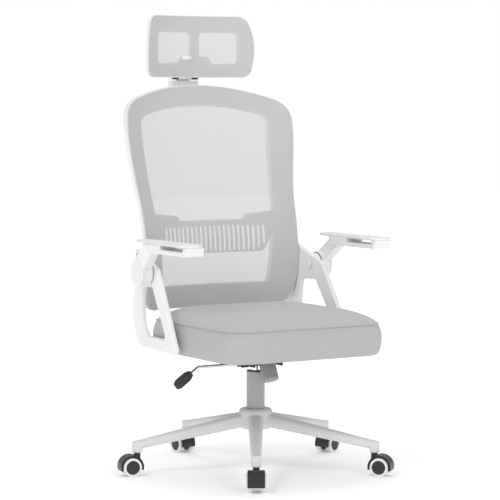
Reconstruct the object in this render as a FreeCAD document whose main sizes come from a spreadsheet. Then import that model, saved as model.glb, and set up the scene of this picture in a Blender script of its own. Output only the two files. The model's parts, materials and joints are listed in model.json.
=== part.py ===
import FreeCAD, Part
import math
import os

import Sketcher

from FreeCAD import Placement, Rotation, Vector

# Office chair with mesh back, flip-up armrests and a gas lift on five casters.
# Millimetres. The chair faces -Y, +Z is up and the column stands on the origin.

SIZES = {
    # fits
    "running_clearance": 0.05, "body_clearance": 0.3,
    # casters
    "caster_height": 62, "wheel_diameter": 50, "wheel_width": 16, "wheel_spacing": 21,
    "wheel_disc_diameter": 37, "wheel_disc_inset": 1.2, "axle_diameter": 8, "caster_trail": 18,
    "hood_gap": 2.8, "hood_wall": 4, "hood_width": 45, "hood_web_width": 18, "hood_collar_diameter": 18,
    "stem_diameter": 11, "stem_grip": 23, "sleeve_wall": 2,
    # five-legged base
    "base_turn": -31, "stem_circle_radius": 334, "post_diameter": 27, "post_length": 31,
    "hub_rise": 50, "hub_height": 56, "hub_diameter": 92, "hub_taper": 6, "hub_shoulder": 11,
    "leg_root_width": 42, "leg_root_height": 38, "leg_root_drop": 12, "leg_tip_width": 27,
    "leg_tip_height": 22,
    # gas lift
    "tube_diameter": 50, "tube_wall": 1.8, "tube_exposed": 100, "tube_recess": 6, "tube_foot": 3,
    "collar_diameter": 49.6, "collar_height": 3, "bush_length": 76, "bearing_height": 6,
    "cylinder_diameter": 28, "cylinder_wall": 2.5, "cylinder_shown": 16, "cylinder_start": 25,
    "cone_length": 30, "cone_reduction": 1, "rod_diameter": 10, "piston_height": 12,
    "release_pin_diameter": 8, "release_pin_rise": 6, "seal_thickness": 4, "clip_thickness": 2,
    # tilt mechanism
    "mech_height": 47, "housing_width": 90, "housing_front": 68, "housing_rear": 48,
    "housing_wall": 3, "housing_side_height": 39, "socket_diameter": 36, "pivot_setback": 32,
    "pivot_height": 27, "pivot_diameter": 10, "ear_gap": 1, "ear_thickness": 3, "ear_length": 28,
    "plate_thickness": 4, "plate_width": 190, "plate_front": 110, "plate_rear": 95,
    "plate_bolt_x": 75, "plate_bolt_front": 90, "plate_bolt_rear": 75, "bolt_diameter": 6,
    # tension knob
    "knob_lean": 25, "knob_forward": 70, "knob_drop": 14, "knob_diameter": 44, "knob_length": 49,
    "knob_floor": 15, "knob_wall": 6, "knob_flutes": 22, "tension_bolt_diameter": 8,
    "tongue_gap": 21, "tongue_thickness": 3, "block_gap": 9, "spring_diameter": 20, "spring_wire": 3.6,
    "spring_turns": 7,
    # height lever
    "lever_forward": 24, "lever_height": 7, "lever_diameter": 8, "lever_reach": 194,
    "lever_slope": 35, "lever_grip": 16, "lever_over_pin": 14, "lever_pivot_x": 57,
    "paddle_length": 58, "paddle_width": 28, "paddle_thickness": 15,
    # seat
    "pan_side_inset": 14, "pan_end_inset": 20, "pan_thickness": 12, "pan_corner": 55,
    "seat_width": 500, "seat_front": 292, "seat_rear": 180, "seat_corner": 64, "skirt_drop": 13,
    "seam_height": 71, "crown_height": 106, "crown_inset": 110,
    # triangular arm brackets
    "bracket_side_gap": 0.6, "bracket_flare": 0.09, "bracket_thickness": 15, "bracket_bar_height": 35,
    "bracket_toe": 63, "bracket_heel": 234, "bracket_tab_reach": 150, "bracket_tab_front": 5,
    "bracket_tab_rear": 105, "bracket_tab_thickness": 5, "bracket_edge": 4, "boss_diameter": 66, "frame_slot_room": 1,
    # armrests
    "arm_pivot_height": 203, "arm_pivot_setback": 118, "arm_pivot_diameter": 12, "eye_diameter": 73,
    "eye_gap": 5.4, "eye_width": 27, "cap_thickness": 5, "arm_pad_height": 91,
    "arm_pad_thickness": 8, "arm_pad_offset": 22, "arm_pad_width": 62, "arm_pad_tail_width": 44,
    "arm_pad_front": 188, "arm_pad_rear": 114, "arm_beam_drop": 31, "arm_beam_height": 12,
    "arm_slot_front": 165, "arm_slot_rear": 43, "neck_splay": 0.18, "neck_thickness": 28,
    "neck_rear_top": 56, "neck_front_top": 96, "neck_foot_half": 34,
    # back
    "back_start": 87, "back_height": 620, "back_thickness": 20, "back_wrap": 54, "back_edge_width": 8,
    "back_waist_inset": 4.6, "back_foot_inset": 32, "back_shoulder_spread": 21, "back_crown": 55,
    "back_shoulder_turn": 66,
    "back_setback_bottom": 244, "back_setback_waist": 227, "back_setback_lumbar": 231,
    "back_setback_middle": 266, "back_setback_upper": 298, "back_setback_top": 318,
    "window_half": 194, "window_flare": 12, "window_top_rail": 60, "window_crown": 30, "crossbar_low": 232,
    "crossbar_high": 243, "crossbar_shoulder": 266, "crossbar_notch_half": 102,
    "lower_window_half": 170, "lower_window_flare": 14, "lower_window_low": 65, "lower_window_corner": 10,
    "mesh_thickness": 1.5, "mesh_gap": 0.6,
    "lumbar_height": 80, "lumbar_foot_half": 128, "lumbar_thickness": 6, "lumbar_slots": 22,
    "lumbar_slot_pitch": 14.9, "lumbar_slot_width": 7, "lumbar_slot_margin": 5,
    # headrest
    "guide_rise": 13, "guide_height": 76, "guide_width": 88, "guide_depth": 24, "post_setback": 398,
    "post_width": 37, "post_thickness": 13, "post_end_gap": 1, "guide_arm_width": 60,
    "guide_arm_height": 45, "guide_arm_drop": 28, "head_bracket_gap": 3, "head_bracket_height": 50,
    "head_pin_setback": 373, "head_pin_rise": 73, "head_pin_diameter": 8, "knuckle_diameter": 18,
    "knuckle_width": 34, "lug_thickness": 9, "head_start": 21, "head_height": 174, "head_half": 172,
    "head_end_inset": 17, "head_setback": 331, "head_bulge": 10, "head_wrap": 40, "head_thickness": 12,
    "head_side_rail": 44, "head_window_low": 40, "head_window_height": 86, "head_bar_width": 31,
    "head_boss_half": 44, "head_boss_foot": 57, "head_boss_height": 19,
}

doc = FreeCAD.newDocument("office_chair")
sheet = doc.addObject("Spreadsheet::Sheet", "dims")
for row, (alias, value) in enumerate(SIZES.items(), start=1):
    sheet.set("A%d" % row, alias.replace("_", " "))
    sheet.set("B%d" % row, str(value))
    sheet.setAlias("B%d" % row, alias)
doc.recompute()


class Size:
    """A number from the sheet together with the formula that leads to it."""

    def __init__(self, value, formula):
        self.value, self.formula = float(value), formula

    def joined(self, other, sign, swap=False):
        other = other if isinstance(other, Size) else Size(other, repr(float(other)))
        first, second = (other, self) if swap else (self, other)
        value = {"+": first.value + second.value, "-": first.value - second.value,
                 "*": first.value * second.value}.get(sign)
        if sign == "/":
            value = first.value / second.value
        return Size(value, "(%s %s %s)" % (first.formula, sign, second.formula))

    def __add__(self, other):
        return self.joined(other, "+")

    def __radd__(self, other):
        return self.joined(other, "+", True)

    def __sub__(self, other):
        return self.joined(other, "-")

    def __rsub__(self, other):
        return self.joined(other, "-", True)

    def __mul__(self, other):
        return self.joined(other, "*")

    def __rmul__(self, other):
        return self.joined(other, "*", True)

    def __truediv__(self, other):
        return self.joined(other, "/")

    def __neg__(self):
        return self.joined(0, "-", True)

    def __float__(self):
        return self.value


class Dims:
    """The sheet's cells by name."""

    def __getattr__(self, alias):
        return Size(sheet.get(alias), "dims." + alias)


d = Dims()
nodes = {}
gap, run = d.body_clearance, d.running_clearance

# Heights, from the floor upwards.
post_bottom = d.caster_height
hub_bottom = post_bottom + d.hub_rise
hub_top = hub_bottom + d.hub_height
tube_bottom = hub_bottom + d.tube_recess
tube_top = hub_top + d.tube_exposed
mech_bottom = tube_top + d.collar_height + d.cylinder_shown
cone_top = mech_bottom + d.cone_length
pin_top = cone_top + d.release_pin_rise
plate_under = mech_bottom + d.mech_height
pan_under = plate_under + d.plate_thickness
pan_top = pan_under + d.pan_thickness
arm_pivot_z = pan_under + d.arm_pivot_height
back_low = pan_under + d.back_start
back_high = back_low + d.back_height
guide_top = back_high + d.guide_rise
head_low = back_high + d.head_start
tilt_z = mech_bottom + d.pivot_height

# Widths, from the seat outwards.
seat_half = d.seat_width / 2
pan_half_width = seat_half - d.pan_side_inset
pan_front, pan_rear = d.seat_front - d.pan_end_inset, d.seat_rear - d.pan_end_inset
bracket_spread = seat_half + d.bracket_side_gap
eye_inner = bracket_spread + d.bracket_thickness + d.eye_gap
eye_outer = eye_inner + d.eye_width
arm_pad_centre = eye_inner + d.arm_pad_offset
back_waist_half = bracket_spread - d.back_waist_inset
back_bottom_half = back_waist_half - d.back_foot_inset
back_shoulder_half = back_waist_half + d.back_shoulder_spread


def bind(item, name, amount):
    """Tie a property to the sheet, or set it where it is a plain number."""
    if isinstance(amount, Size):
        item.setExpression(name, amount.formula)
    else:
        item.setExpression(name, repr(float(amount)))


def place(item, x, y, z, rotation=Rotation()):
    item.Placement = Placement(Vector(0, 0, 0), rotation)
    for axis, amount in zip("xyz", (x, y, z)):
        bind(item, ".Placement.Base." + axis, amount)
    return item


def named(label, item):
    """Keep a finished piece under its node name."""
    item.Label = label
    nodes[label] = item
    return item


def box(name, x, y, z):
    """Block between two limits on each axis."""
    item = doc.addObject("Part::Box", name)
    for side, (low, high) in zip(("Length", "Width", "Height"), (x, y, z)):
        bind(item, side, high - low)
    return place(item, x[0], y[0], z[0])


TURNS = {"x": Rotation(Vector(0, 1, 0), 90), "y": Rotation(Vector(1, 0, 0), -90), "z": Rotation()}


def rod(name, axis, at, radius, low, high):
    """Cylinder along an axis; `at` gives the other two coordinates in order."""
    item = doc.addObject("Part::Cylinder", name)
    bind(item, "Radius", radius)
    bind(item, "Height", high - low)
    spots = {"x": (low, at[0], at[1]), "y": (at[0], low, at[1]), "z": (at[0], at[1], low)}
    return place(item, *spots[axis], rotation=TURNS[axis])


def cut(name, base, *tools):
    joined = tools[0]
    if len(tools) > 1:
        joined = fuse(name + "_tools", *tools)
    item = doc.addObject("Part::Cut", name)
    item.Base, item.Tool = base, joined
    return item


def fuse(name, *items):
    item = doc.addObject("Part::MultiFuse", name)
    item.Shapes = list(items)
    item.Refine = True
    return item


def group(name, *items):
    """Separate solids that share one node."""
    item = doc.addObject("Part::Compound", name)
    item.Links = list(items)
    return item


def solid(name, shape):
    """Piece whose shape is worked out with Part's own functions."""
    item = doc.addObject("Part::Feature", name)
    item.Shape = shape
    return item


def origin_plane(body, role):
    return [plane for plane in body.Origin.OriginFeatures if plane.Role == role][0]


def profile(body, name, role, corners):
    """Closed sketch whose every corner is tied to the sheet."""
    sketch = body.newObject("Sketcher::SketchObject", name)
    sketch.AttachmentSupport = [(origin_plane(body, role), "")]
    sketch.MapMode = "FlatFace"
    spots = [Vector(float(u), float(v), 0) for u, v in corners]
    count = len(spots)
    for index in range(count):
        sketch.addGeometry(Part.LineSegment(spots[index], spots[(index + 1) % count]), False)
    for index in range(count):
        sketch.addConstraint(Sketcher.Constraint("Coincident", index, 2, (index + 1) % count, 1))
    for index, corner in enumerate(corners):
        for kind, amount in zip(("DistanceX", "DistanceY"), corner):
            spot = sketch.addConstraint(Sketcher.Constraint(kind, -1, 1, index, 1, float(amount)))
            bind(sketch, "Constraints[%d]" % spot, amount)
    return sketch


def turned(name, corners):
    """Body of revolution about Z from corners given as radius and height."""
    body = doc.addObject("PartDesign::Body", name)
    sketch = profile(body, name + "_half", "XZ_Plane", corners)
    feature = body.newObject("PartDesign::Revolution", name + "_turn")
    feature.Profile = sketch
    feature.ReferenceAxis = (sketch, ["V_Axis"])
    feature.Angle = 360
    return body


def padded(name, role, corners, length):
    """Body padded from a sketch on one of its origin planes."""
    body = doc.addObject("PartDesign::Body", name)
    sketch = profile(body, name + "_outline", role, corners)
    feature = body.newObject("PartDesign::Pad", name + "_pad")
    feature.Profile = sketch
    bind(feature, "Length", length)
    return body


def wire_of(points, closed=True):
    spots = [Vector(*point) for point in points]
    return Part.makePolygon(spots + spots[:1] if closed else spots)


def prism(points, direction):
    return Part.Face(wire_of(points)).extrude(direction)


def edges_along(shape, direction):
    """Straight edges that run along a direction."""
    found = []
    for edge in shape.Edges:
        if edge.Curve.TypeId == "Part::GeomLine" and abs(edge.Curve.Direction.dot(direction)) > 0.999:
            found.append(edge)
    return found


def rounded_frame(u_low, u_high, v_low, v_high, radius, spot):
    """Rounded rectangle of lines and arcs; `spot` turns two numbers into a point."""
    lean = radius * (1 - math.sqrt(0.5))
    corners = ((u_low, v_low, 1, 1), (u_high, v_low, -1, 1),
               (u_high, v_high, -1, -1), (u_low, v_high, 1, -1))
    edges, ends = [], []
    for index, (u, v, du, dv) in enumerate(corners):
        before, after = (u, v + dv * radius), (u + du * radius, v)
        if index % 2:
            before, after = after, before
        middle = (u + du * lean, v + dv * lean)
        ends.append((before, middle, after))
    for index, (before, middle, after) in enumerate(ends):
        edges.append(Part.Arc(spot(*before), spot(*middle), spot(*after)).toShape())
        following = ends[(index + 1) % 4][0]
        edges.append(Part.LineSegment(spot(*after), spot(*following)).toShape())
    return Part.Wire(edges)


# Base: hub, five tapered legs and the posts that hold the casters.
def leg_section(reach, width, low, high, radius):
    return rounded_frame(-width / 2, width / 2, low, high, radius,
                         lambda u, v: Vector(reach, u, v))


def leg_turn(index):
    """Direction of a leg, counted round the base."""
    return Rotation(Vector(0, 0, 1), float(d.base_turn) - 90 + 72 * index)


hub_radius = float(d.hub_diameter) / 2
shoulder, bore = float(d.hub_shoulder), float(d.tube_diameter) / 2
low, high = float(hub_bottom), float(hub_top)
bend = shoulder * (1 - math.sqrt(0.5))
half = [Part.LineSegment(Vector(bore, 0, low), Vector(hub_radius - float(d.hub_taper), 0, low)),
        Part.LineSegment(Vector(hub_radius - float(d.hub_taper), 0, low), Vector(hub_radius, 0,
                                                                                 high - shoulder)),
        Part.Arc(Vector(hub_radius, 0, high - shoulder), Vector(hub_radius - bend, 0, high - bend),
                 Vector(hub_radius - shoulder, 0, high)),
        Part.LineSegment(Vector(hub_radius - shoulder, 0, high), Vector(bore, 0, high)),
        Part.LineSegment(Vector(bore, 0, high), Vector(bore, 0, low))]
hub = Part.Face(Part.Wire([edge.toShape() for edge in half])).revolve(Vector(), Vector(0, 0, 1), 360)

reach = float(d.stem_circle_radius)
leg_top = float(hub_top - d.leg_root_drop)
tip_top = float(post_bottom + d.post_length)
root = leg_section(bore + 6, float(d.leg_root_width), leg_top - float(d.leg_root_height), leg_top, 14)
tip = leg_section(reach, float(d.leg_tip_width), tip_top - float(d.leg_tip_height), tip_top, 9)
leg = Part.makeLoft([root, tip], True, True)
post = Part.makeCylinder(float(d.post_diameter) / 2, float(d.post_length), Vector(reach, 0,
                                                                                  float(post_bottom)))
post = post.makeFillet(5, [edge for edge in post.Edges if edge.BoundBox.ZMin > float(post_bottom) + 1])
sleeve_radius = d.stem_diameter / 2 + run + d.sleeve_wall
socket = Part.makeCylinder(float(sleeve_radius), float(d.stem_grip) + 1, Vector(reach, 0, float(post_bottom)))
star = hub
for index in range(5):
    for piece in (leg, post):
        copy = piece.copy()
        copy.rotate(Vector(), leg_turn(index).Axis, math.degrees(leg_turn(index).Angle))
        star = star.fuse(copy)
clear = [Part.makeCylinder(bore, high - low + 20, Vector(0, 0, low - 10))]
for index in range(5):
    copy = socket.copy()
    copy.rotate(Vector(), leg_turn(index).Axis, math.degrees(leg_turn(index).Angle))
    clear.append(copy)
named("base_star", solid("base_star", star.cut(clear).removeSplitter()))


def on_leg(item, index):
    """Stand a piece built round its own stem axis on a leg's post."""
    turn = leg_turn(index)
    item.Placement = Placement(turn.multVec(Vector(reach, 0, 0)), turn)
    return item


sleeves = []
for index in range(5):
    inner, top = d.stem_diameter / 2 + run, post_bottom + d.stem_grip + 1
    sleeves.append(on_leg(turned("sleeve_%d" % (index + 1), [
        (inner, post_bottom), (sleeve_radius, post_bottom), (sleeve_radius, top), (inner, top)]), index))
named("caster_sleeves", group("caster_sleeves", *sleeves))

# Casters: hood with pressed-in stem and axle, and two wheels that spin by themselves.
wheel_radius, trail = d.wheel_diameter / 2, d.caster_trail
hood_inner = wheel_radius + d.hood_gap
hood_outer = hood_inner + d.hood_wall
axle_radius = d.axle_diameter / 2
stem_radius = d.stem_diameter / 2
collar_top = post_bottom - gap


def hood_shape():
    """Shell over both wheels, web between them and collar round the stem."""
    centre, along = Vector(float(trail), 0, float(wheel_radius)), Vector(0, 1, 0)
    width, web = float(d.hood_width), float(d.hood_web_width)

    def disc(radius, thickness):
        return Part.makeCylinder(radius, thickness, centre - along * (thickness / 2), along)

    shell = disc(float(hood_outer), width).cut(disc(float(hood_inner), width))
    core = disc(float(hood_outer) - 0.5, web)
    span = 2 * float(hood_outer)
    below = Part.makeBox(2 * span, span, span, Vector(float(trail) - span, -span / 2, -span - 1))
    tread_gap = Part.makeBox(span, span, span, Vector(float(trail) - span + 2, -span / 2, -span + 17))
    rear_gap = Part.makeBox(span, span, span, Vector(float(trail) + 2, -span / 2, -span + 15))
    radius = float(d.hood_collar_diameter) / 2
    collar = Part.makeCylinder(radius, float(collar_top) - 30, Vector(0, 0, 30))
    keep_out = disc(float(hood_inner), width).cut(disc(float(hood_inner), web))
    body = shell.fuse([core, collar]).cut([below, tread_gap, rear_gap, keep_out])
    holes = [Part.makeCylinder(float(axle_radius), web + 2, centre - along * (web / 2 + 1), along),
             Part.makeCylinder(float(stem_radius), 60, Vector(0, 0, 34))]
    return body.cut(holes).removeSplitter()


def wheel(name, index, side):
    """Tread ring with its side disc, bored for the axle."""
    inner, outer = side * d.wheel_spacing / 2, side * (d.wheel_spacing / 2 + d.wheel_width)
    start, end = (inner, outer) if side > 0 else (outer, inner)
    ring = rod(name + "_ring", "y", (trail, wheel_radius), wheel_radius, start, end)
    core = rod(name + "_core", "y", (trail, wheel_radius), d.wheel_disc_diameter / 2, start, end)
    hole = rod(name + "_bore", "y", (trail, wheel_radius), axle_radius + run, start - 1, end + 1)
    face = outer - side * d.wheel_disc_inset
    limits = (inner, face) if side > 0 else (face, inner)
    disc = rod(name + "_face", "y", (trail, wheel_radius), d.wheel_disc_diameter / 2, *limits)
    tread = cut(name + "_tread", ring, core)
    return on_leg(group(name, tread, cut(name + "_disc", disc, hole)), index)


for index in range(5):
    tag = "caster_%d_" % (index + 1)
    named(tag + "hood", on_leg(solid(tag + "hood", hood_shape()), index))
    stem = rod(tag + "stem", "z", (0, 0), stem_radius, 34, post_bottom + d.stem_grip)
    half_span = d.wheel_spacing / 2 + d.wheel_width - d.wheel_disc_inset - 0.5
    axle = rod(tag + "axle", "y", (trail, wheel_radius), axle_radius, -half_span, half_span)
    named(tag + "pins", on_leg(group(tag + "pins", stem, axle), index))
    named(tag + "wheel_a", wheel(tag + "wheel_a", index, 1))
    named(tag + "wheel_b", wheel(tag + "wheel_b", index, -1))

# Gas lift.
tube_radius = d.tube_diameter / 2
tube_inner = tube_radius - d.tube_wall
cylinder_radius = d.cylinder_diameter / 2
cylinder_inner = cylinder_radius - d.cylinder_wall
rod_radius = d.rod_diameter / 2
pin_radius = d.release_pin_diameter / 2
cylinder_low = tube_bottom + d.cylinder_start
floor_z = tube_bottom + d.tube_foot
cone_radius = cylinder_radius - d.cone_reduction
cap_z = cone_top - 6

named("lift_outer_tube", turned("lift_outer_tube", [
    (rod_radius + run, tube_bottom), (tube_radius, tube_bottom), (tube_radius, tube_top),
    (tube_inner, tube_top), (tube_inner, floor_z), (rod_radius + run, floor_z)]))
named("lift_guide_bush", turned("lift_guide_bush", [
    (cylinder_radius + run, tube_top - d.bush_length), (tube_inner, tube_top - d.bush_length),
    (tube_inner, tube_top), (d.collar_diameter / 2, tube_top),
    (d.collar_diameter / 2, tube_top + d.collar_height),
    (cylinder_radius + run, tube_top + d.collar_height)]))
named("lift_thrust_bearing", turned("lift_thrust_bearing", [
    (rod_radius + run, floor_z), (rod_radius + 8, floor_z),
    (rod_radius + 8, floor_z + d.bearing_height), (rod_radius + run, floor_z + d.bearing_height)]))
seat_z = floor_z + d.bearing_height + run
clip_top = tube_bottom - gap
clip_low = clip_top - d.clip_thickness
piston_top = cap_z - 12
named("lift_piston_rod", turned("lift_piston_rod", [
    (0, clip_low - 2), (rod_radius, clip_low - 2), (rod_radius, clip_low), (rod_radius - 1, clip_low),
    (rod_radius - 1, clip_top), (rod_radius, clip_top), (rod_radius, seat_z), (rod_radius + 4, seat_z),
    (rod_radius + 4, seat_z + 3), (rod_radius, seat_z + 3),
    (rod_radius, piston_top - d.piston_height), (cylinder_inner - run, piston_top - d.piston_height),
    (cylinder_inner - run, piston_top), (0, piston_top)]))
named("lift_retaining_clip", turned("lift_retaining_clip", [
    (rod_radius - 1, clip_low), (rod_radius + 4, clip_low), (rod_radius + 4, clip_top),
    (rod_radius - 1, clip_top)]))
named("lift_cylinder", turned("lift_cylinder", [
    (rod_radius + run, cylinder_low), (cylinder_radius, cylinder_low), (cylinder_radius, mech_bottom),
    (cone_radius, cone_top), (pin_radius + run, cone_top), (pin_radius + run, cap_z),
    (cylinder_inner, cap_z), (cylinder_inner, cylinder_low + d.seal_thickness),
    (rod_radius + run, cylinder_low + d.seal_thickness)]))
named("release_pin", turned("release_pin", [
    (0, cap_z - gap - 2), (pin_radius + 2, cap_z - gap - 2), (pin_radius + 2, cap_z - gap),
    (pin_radius, cap_z - gap), (pin_radius, pin_top), (0, pin_top)]))

# Tilt mechanism. The tension bolt leans, so its pieces share a frame on the knob's middle.
knob_z = mech_bottom - d.knob_drop
knob_turn = Rotation(Vector(1, 0, 0), -float(d.knob_lean))


def on_knob(item):
    place(item, 0, -d.knob_forward, knob_z, knob_turn)
    return item


def leaning_box(name, x, y, z):
    """Block given in the tension bolt's own frame."""
    blank = box(name + "_blank", x, y, z)
    return on_knob(group(name, blank))


wall_out = d.housing_width / 2
wall_in = wall_out - d.housing_wall
side_top = mech_bottom + d.housing_side_height
knob_half = d.knob_length / 2
tongue_z = knob_half + d.tongue_gap
block_z = tongue_z + d.tongue_thickness + d.block_gap
lever_y, lever_z = -d.lever_forward, mech_bottom + d.lever_height
lever_x = -d.lever_pivot_x
lug_start, lug_end = 8 + gap, 12 + gap

floor_plate = box("housing_floor", (-wall_out, wall_out), (-33, d.housing_rear),
                  (mech_bottom, mech_bottom + d.housing_wall))
walls = [box("housing_side_%d" % number, limits, (-d.housing_front, d.housing_rear), (mech_bottom, side_top))
         for number, limits in enumerate(((-wall_out, -wall_in), (wall_in, wall_out)))]
socket_tube = rod("housing_socket", "z", (0, 0), d.socket_diameter / 2, mech_bottom, cone_top)
tongue = leaning_box("housing_tongue", (-wall_in - 1, wall_in + 1), (-20, 11),
                     (tongue_z, tongue_z + d.tongue_thickness))
lugs = [box("housing_lug_%d" % number, (lever_x - 9, -wall_out + 1), limits, (lever_z - 9, lever_z + 9))
        for number, limits in enumerate(((lever_y + lug_start, lever_y + lug_end),
                                         (lever_y - lug_end, lever_y - lug_start)))]
taper = doc.addObject("Part::Cone", "housing_taper")
bind(taper, "Radius1", cylinder_radius)
bind(taper, "Radius2", cone_radius)
bind(taper, "Height", d.cone_length)
place(taper, 0, 0, mech_bottom)
bolt_slot = leaning_box("housing_bolt_slot", (-6, 6), (-16, 6), (tongue_z - 5, tongue_z + 9))
lever_slot = box("housing_lever_slot", (-wall_out - 1, -22), (lever_y - 8, lever_y + 16),
                 (mech_bottom - 1, side_top - 3))
pivot_hole = rod("housing_pivot_hole", "x", (d.pivot_setback, tilt_z), d.pivot_diameter / 2, -60, 60)
trunnion_hole = rod("housing_trunnion_hole", "y", (lever_x, lever_z), 3 + run, lever_y - 20, lever_y + 20)
shell = cut("housing_shell", fuse("housing_pressing", floor_plate, *walls, tongue), lever_slot)
named("mechanism_housing", cut("mechanism_housing", fuse("housing_blank", shell, socket_tube, *lugs),
                               taper, bolt_slot, pivot_hole, trunnion_hole))
ear_in = wall_out + d.ear_gap
ear_out = ear_in + d.ear_thickness
named("tilt_pivot_pin", rod("tilt_pivot_pin", "x", (d.pivot_setback, tilt_z), d.pivot_diameter / 2,
                            -ear_out - 3, ear_out + 3))

bolt_radius = d.bolt_diameter / 2
plate_bolts = [(x, y) for x in (-d.plate_bolt_x, d.plate_bolt_x) for y in (-d.plate_bolt_front,
                                                                           d.plate_bolt_rear)]
plate = box("plate_blank", (-d.plate_width / 2, d.plate_width / 2), (-d.plate_front, d.plate_rear),
            (plate_under, pan_under))
ear_y = (d.pivot_setback - d.ear_length / 2, d.pivot_setback + d.ear_length / 2)
ears = [box("plate_ear_%d" % number, limits, ear_y, (tilt_z - 12, plate_under + 1))
        for number, limits in enumerate(((-ear_out, -ear_in), (ear_in, ear_out)))]
block = leaning_box("plate_block", (-12, 12), (-8, 8), (block_z, block_z + 9))
ear_hole = rod("plate_ear_hole", "x", (d.pivot_setback, tilt_z), d.pivot_diameter / 2 + run, -60, 60)
holes = [rod("plate_hole_%d" % number, "z", spot, bolt_radius + gap, plate_under - 1, pan_under + 1)
         for number, spot in enumerate(plate_bolts)]
named("seat_plate", cut("seat_plate", fuse("plate_pressing", plate, block, *ears), ear_hole, *holes))


def bolt(name, axis, at, seat, tip, radius):
    """Round-headed bolt: `seat` is the face under its head and `tip` its far end."""
    sign = 1 if float(tip) > float(seat) else -1
    limits = (seat, tip) if sign > 0 else (tip, seat)
    head = (seat - 4, seat) if sign > 0 else (seat, seat + 4)
    return fuse(name, rod(name + "_shank", axis, at, radius, *limits),
                rod(name + "_head", axis, at, radius + 3, *head))


named("seat_plate_bolts", group("seat_plate_bolts", *[
    bolt("plate_bolt_%d" % number, "z", spot, plate_under, pan_top - 2, bolt_radius)
    for number, spot in enumerate(plate_bolts)]))

tension_radius = d.tension_bolt_diameter / 2
named("tension_bolt", on_knob(turned("tension_bolt", [
    (0, -knob_half + 3), (tension_radius, -knob_half + 3), (tension_radius, block_z), (0, block_z)])))
cup = knob_half - d.knob_length + d.knob_floor
knob_radius = d.knob_diameter / 2
knob_body = turned("knob_body", [
    (0, -knob_half), (knob_radius - 2, -knob_half), (knob_radius, -knob_half + 3), (knob_radius,
                                                                                    knob_half - 2),
    (knob_radius - 2, knob_half), (knob_radius - d.knob_wall, knob_half), (knob_radius - d.knob_wall, cup),
    (tension_radius + run, cup), (tension_radius + run, -knob_half + 3 - gap), (0, -knob_half + 3 - gap)])
flutes = []
for index in range(int(float(d.knob_flutes))):
    angle = math.radians(360 / float(d.knob_flutes) * index)
    out = float(knob_radius) + 0.9
    flutes.append(Part.makeCylinder(2.2, float(d.knob_length) + 2,
                                    Vector(math.cos(angle) * out, math.sin(angle) * out,
                                           -float(knob_half) - 1)))
ribs = solid("knob_flutes", Part.makeCompound(flutes))
named("tension_knob", on_knob(cut("tension_knob", knob_body, ribs)))


def coil(radius, wire, turns, low, high):
    """Coil spring: quarter-turn arcs on a helix, swept with the wire's section."""
    steps = int(turns * 4)
    rise = (high - low) / steps

    def at(step):
        angle = math.radians(90 * step)
        return Vector(radius * math.cos(angle), radius * math.sin(angle), low + rise * step)

    path = Part.Wire([Part.Arc(at(step), at(step + 0.5), at(step + 1)).toShape() for step in range(steps)])
    section = Part.Wire([Part.Circle(at(0), Vector(0, 1, rise * steps / turns / (2 * math.pi * radius)),
                                     wire / 2).toShape()])
    return path.makePipeShell([section], True, False)


spring_radius, wire = float(d.spring_diameter) / 2, float(d.spring_wire)
named("tension_spring", on_knob(solid("tension_spring", coil(
    spring_radius, wire, int(float(d.spring_turns)), float(cup) + wire / 2 + 0.3, float(tongue_z) - wire / 2 - 0.3))))


# Height lever: bent rod in a pivoting bush, with a moulded paddle.
def bent_wire(spots, radius):
    """Line through points with each corner rounded by an arc."""
    edges, start = [], spots[0]
    for before, corner, after in zip(spots, spots[1:], spots[2:]):
        back, ahead = (before - corner).normalize(), (after - corner).normalize()
        half_angle = back.getAngle(ahead) / 2
        trim = radius / math.tan(half_angle)
        middle = (back + ahead).normalize()
        inner = corner + middle * (radius / math.sin(half_angle) - radius)
        edges.append(Part.LineSegment(start, corner + back * trim).toShape())
        edges.append(Part.Arc(corner + back * trim, inner, corner + ahead * trim).toShape())
        start = corner + ahead * trim
    edges.append(Part.LineSegment(start, spots[-1]).toShape())
    return Part.Wire(edges)


lever_radius = float(d.lever_diameter) / 2
slope = math.radians(float(d.lever_slope))
down = Vector(-math.cos(slope), 0, -math.sin(slope))
y, z = float(lever_y), float(lever_z)
over_z = float(pin_top + gap) + lever_radius
elbow = Vector(-float(d.lever_reach), y, z)
paddle_start = 26
spots = [Vector(float(d.lever_over_pin), float(d.lever_over_pin) / 2, over_z), Vector(-24, -12, over_z),
         Vector(-30, y, z), elbow, elbow + down * (paddle_start + float(d.lever_grip))]
path = bent_wire(spots, 7)
first = (spots[1] - spots[0]).normalize()
section = Part.Wire([Part.Circle(spots[0], first, lever_radius).toShape()])
named("lever_rod", solid("lever_rod", path.makePipeShell([section], True, False)))

barrel = rod("bush_barrel", "y", (lever_x, lever_z), 8, lever_y - 8, lever_y + 8)
trunnion = rod("bush_trunnion", "y", (lever_x, lever_z), 3, lever_y - 13, lever_y + 13)
bush_bore = rod("bush_bore", "x", (lever_y, lever_z), d.lever_diameter / 2 + run, lever_x - 10, lever_x + 10)
named("lever_bush", cut("lever_bush", fuse("bush_blank", barrel, trunnion), bush_bore))

across = down.cross(Vector(0, 1, 0))
paddle_size, paddle_thick = float(d.paddle_width), float(d.paddle_thickness)
rings = []
for share, wide, thick in ((0, 0.6, 0.85), (0.24, 0.96, 1), (0.8, 1, 0.95), (1, 0.66, 0.6)):
    middle = elbow + down * (paddle_start + share * float(d.paddle_length))
    u, v = paddle_size * wide / 2, paddle_thick * thick / 2
    rings.append(rounded_frame(-u, u, -v, v, v * 0.7, lambda a, b: middle + across * a + Vector(0, b, 0)))
bored = Part.makeCylinder(lever_radius, float(d.lever_grip) + 2, elbow + down * (paddle_start - 2), down)
named("lever_paddle", solid("lever_paddle", Part.makeLoft(rings, True, True).cut(bored)))

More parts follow.
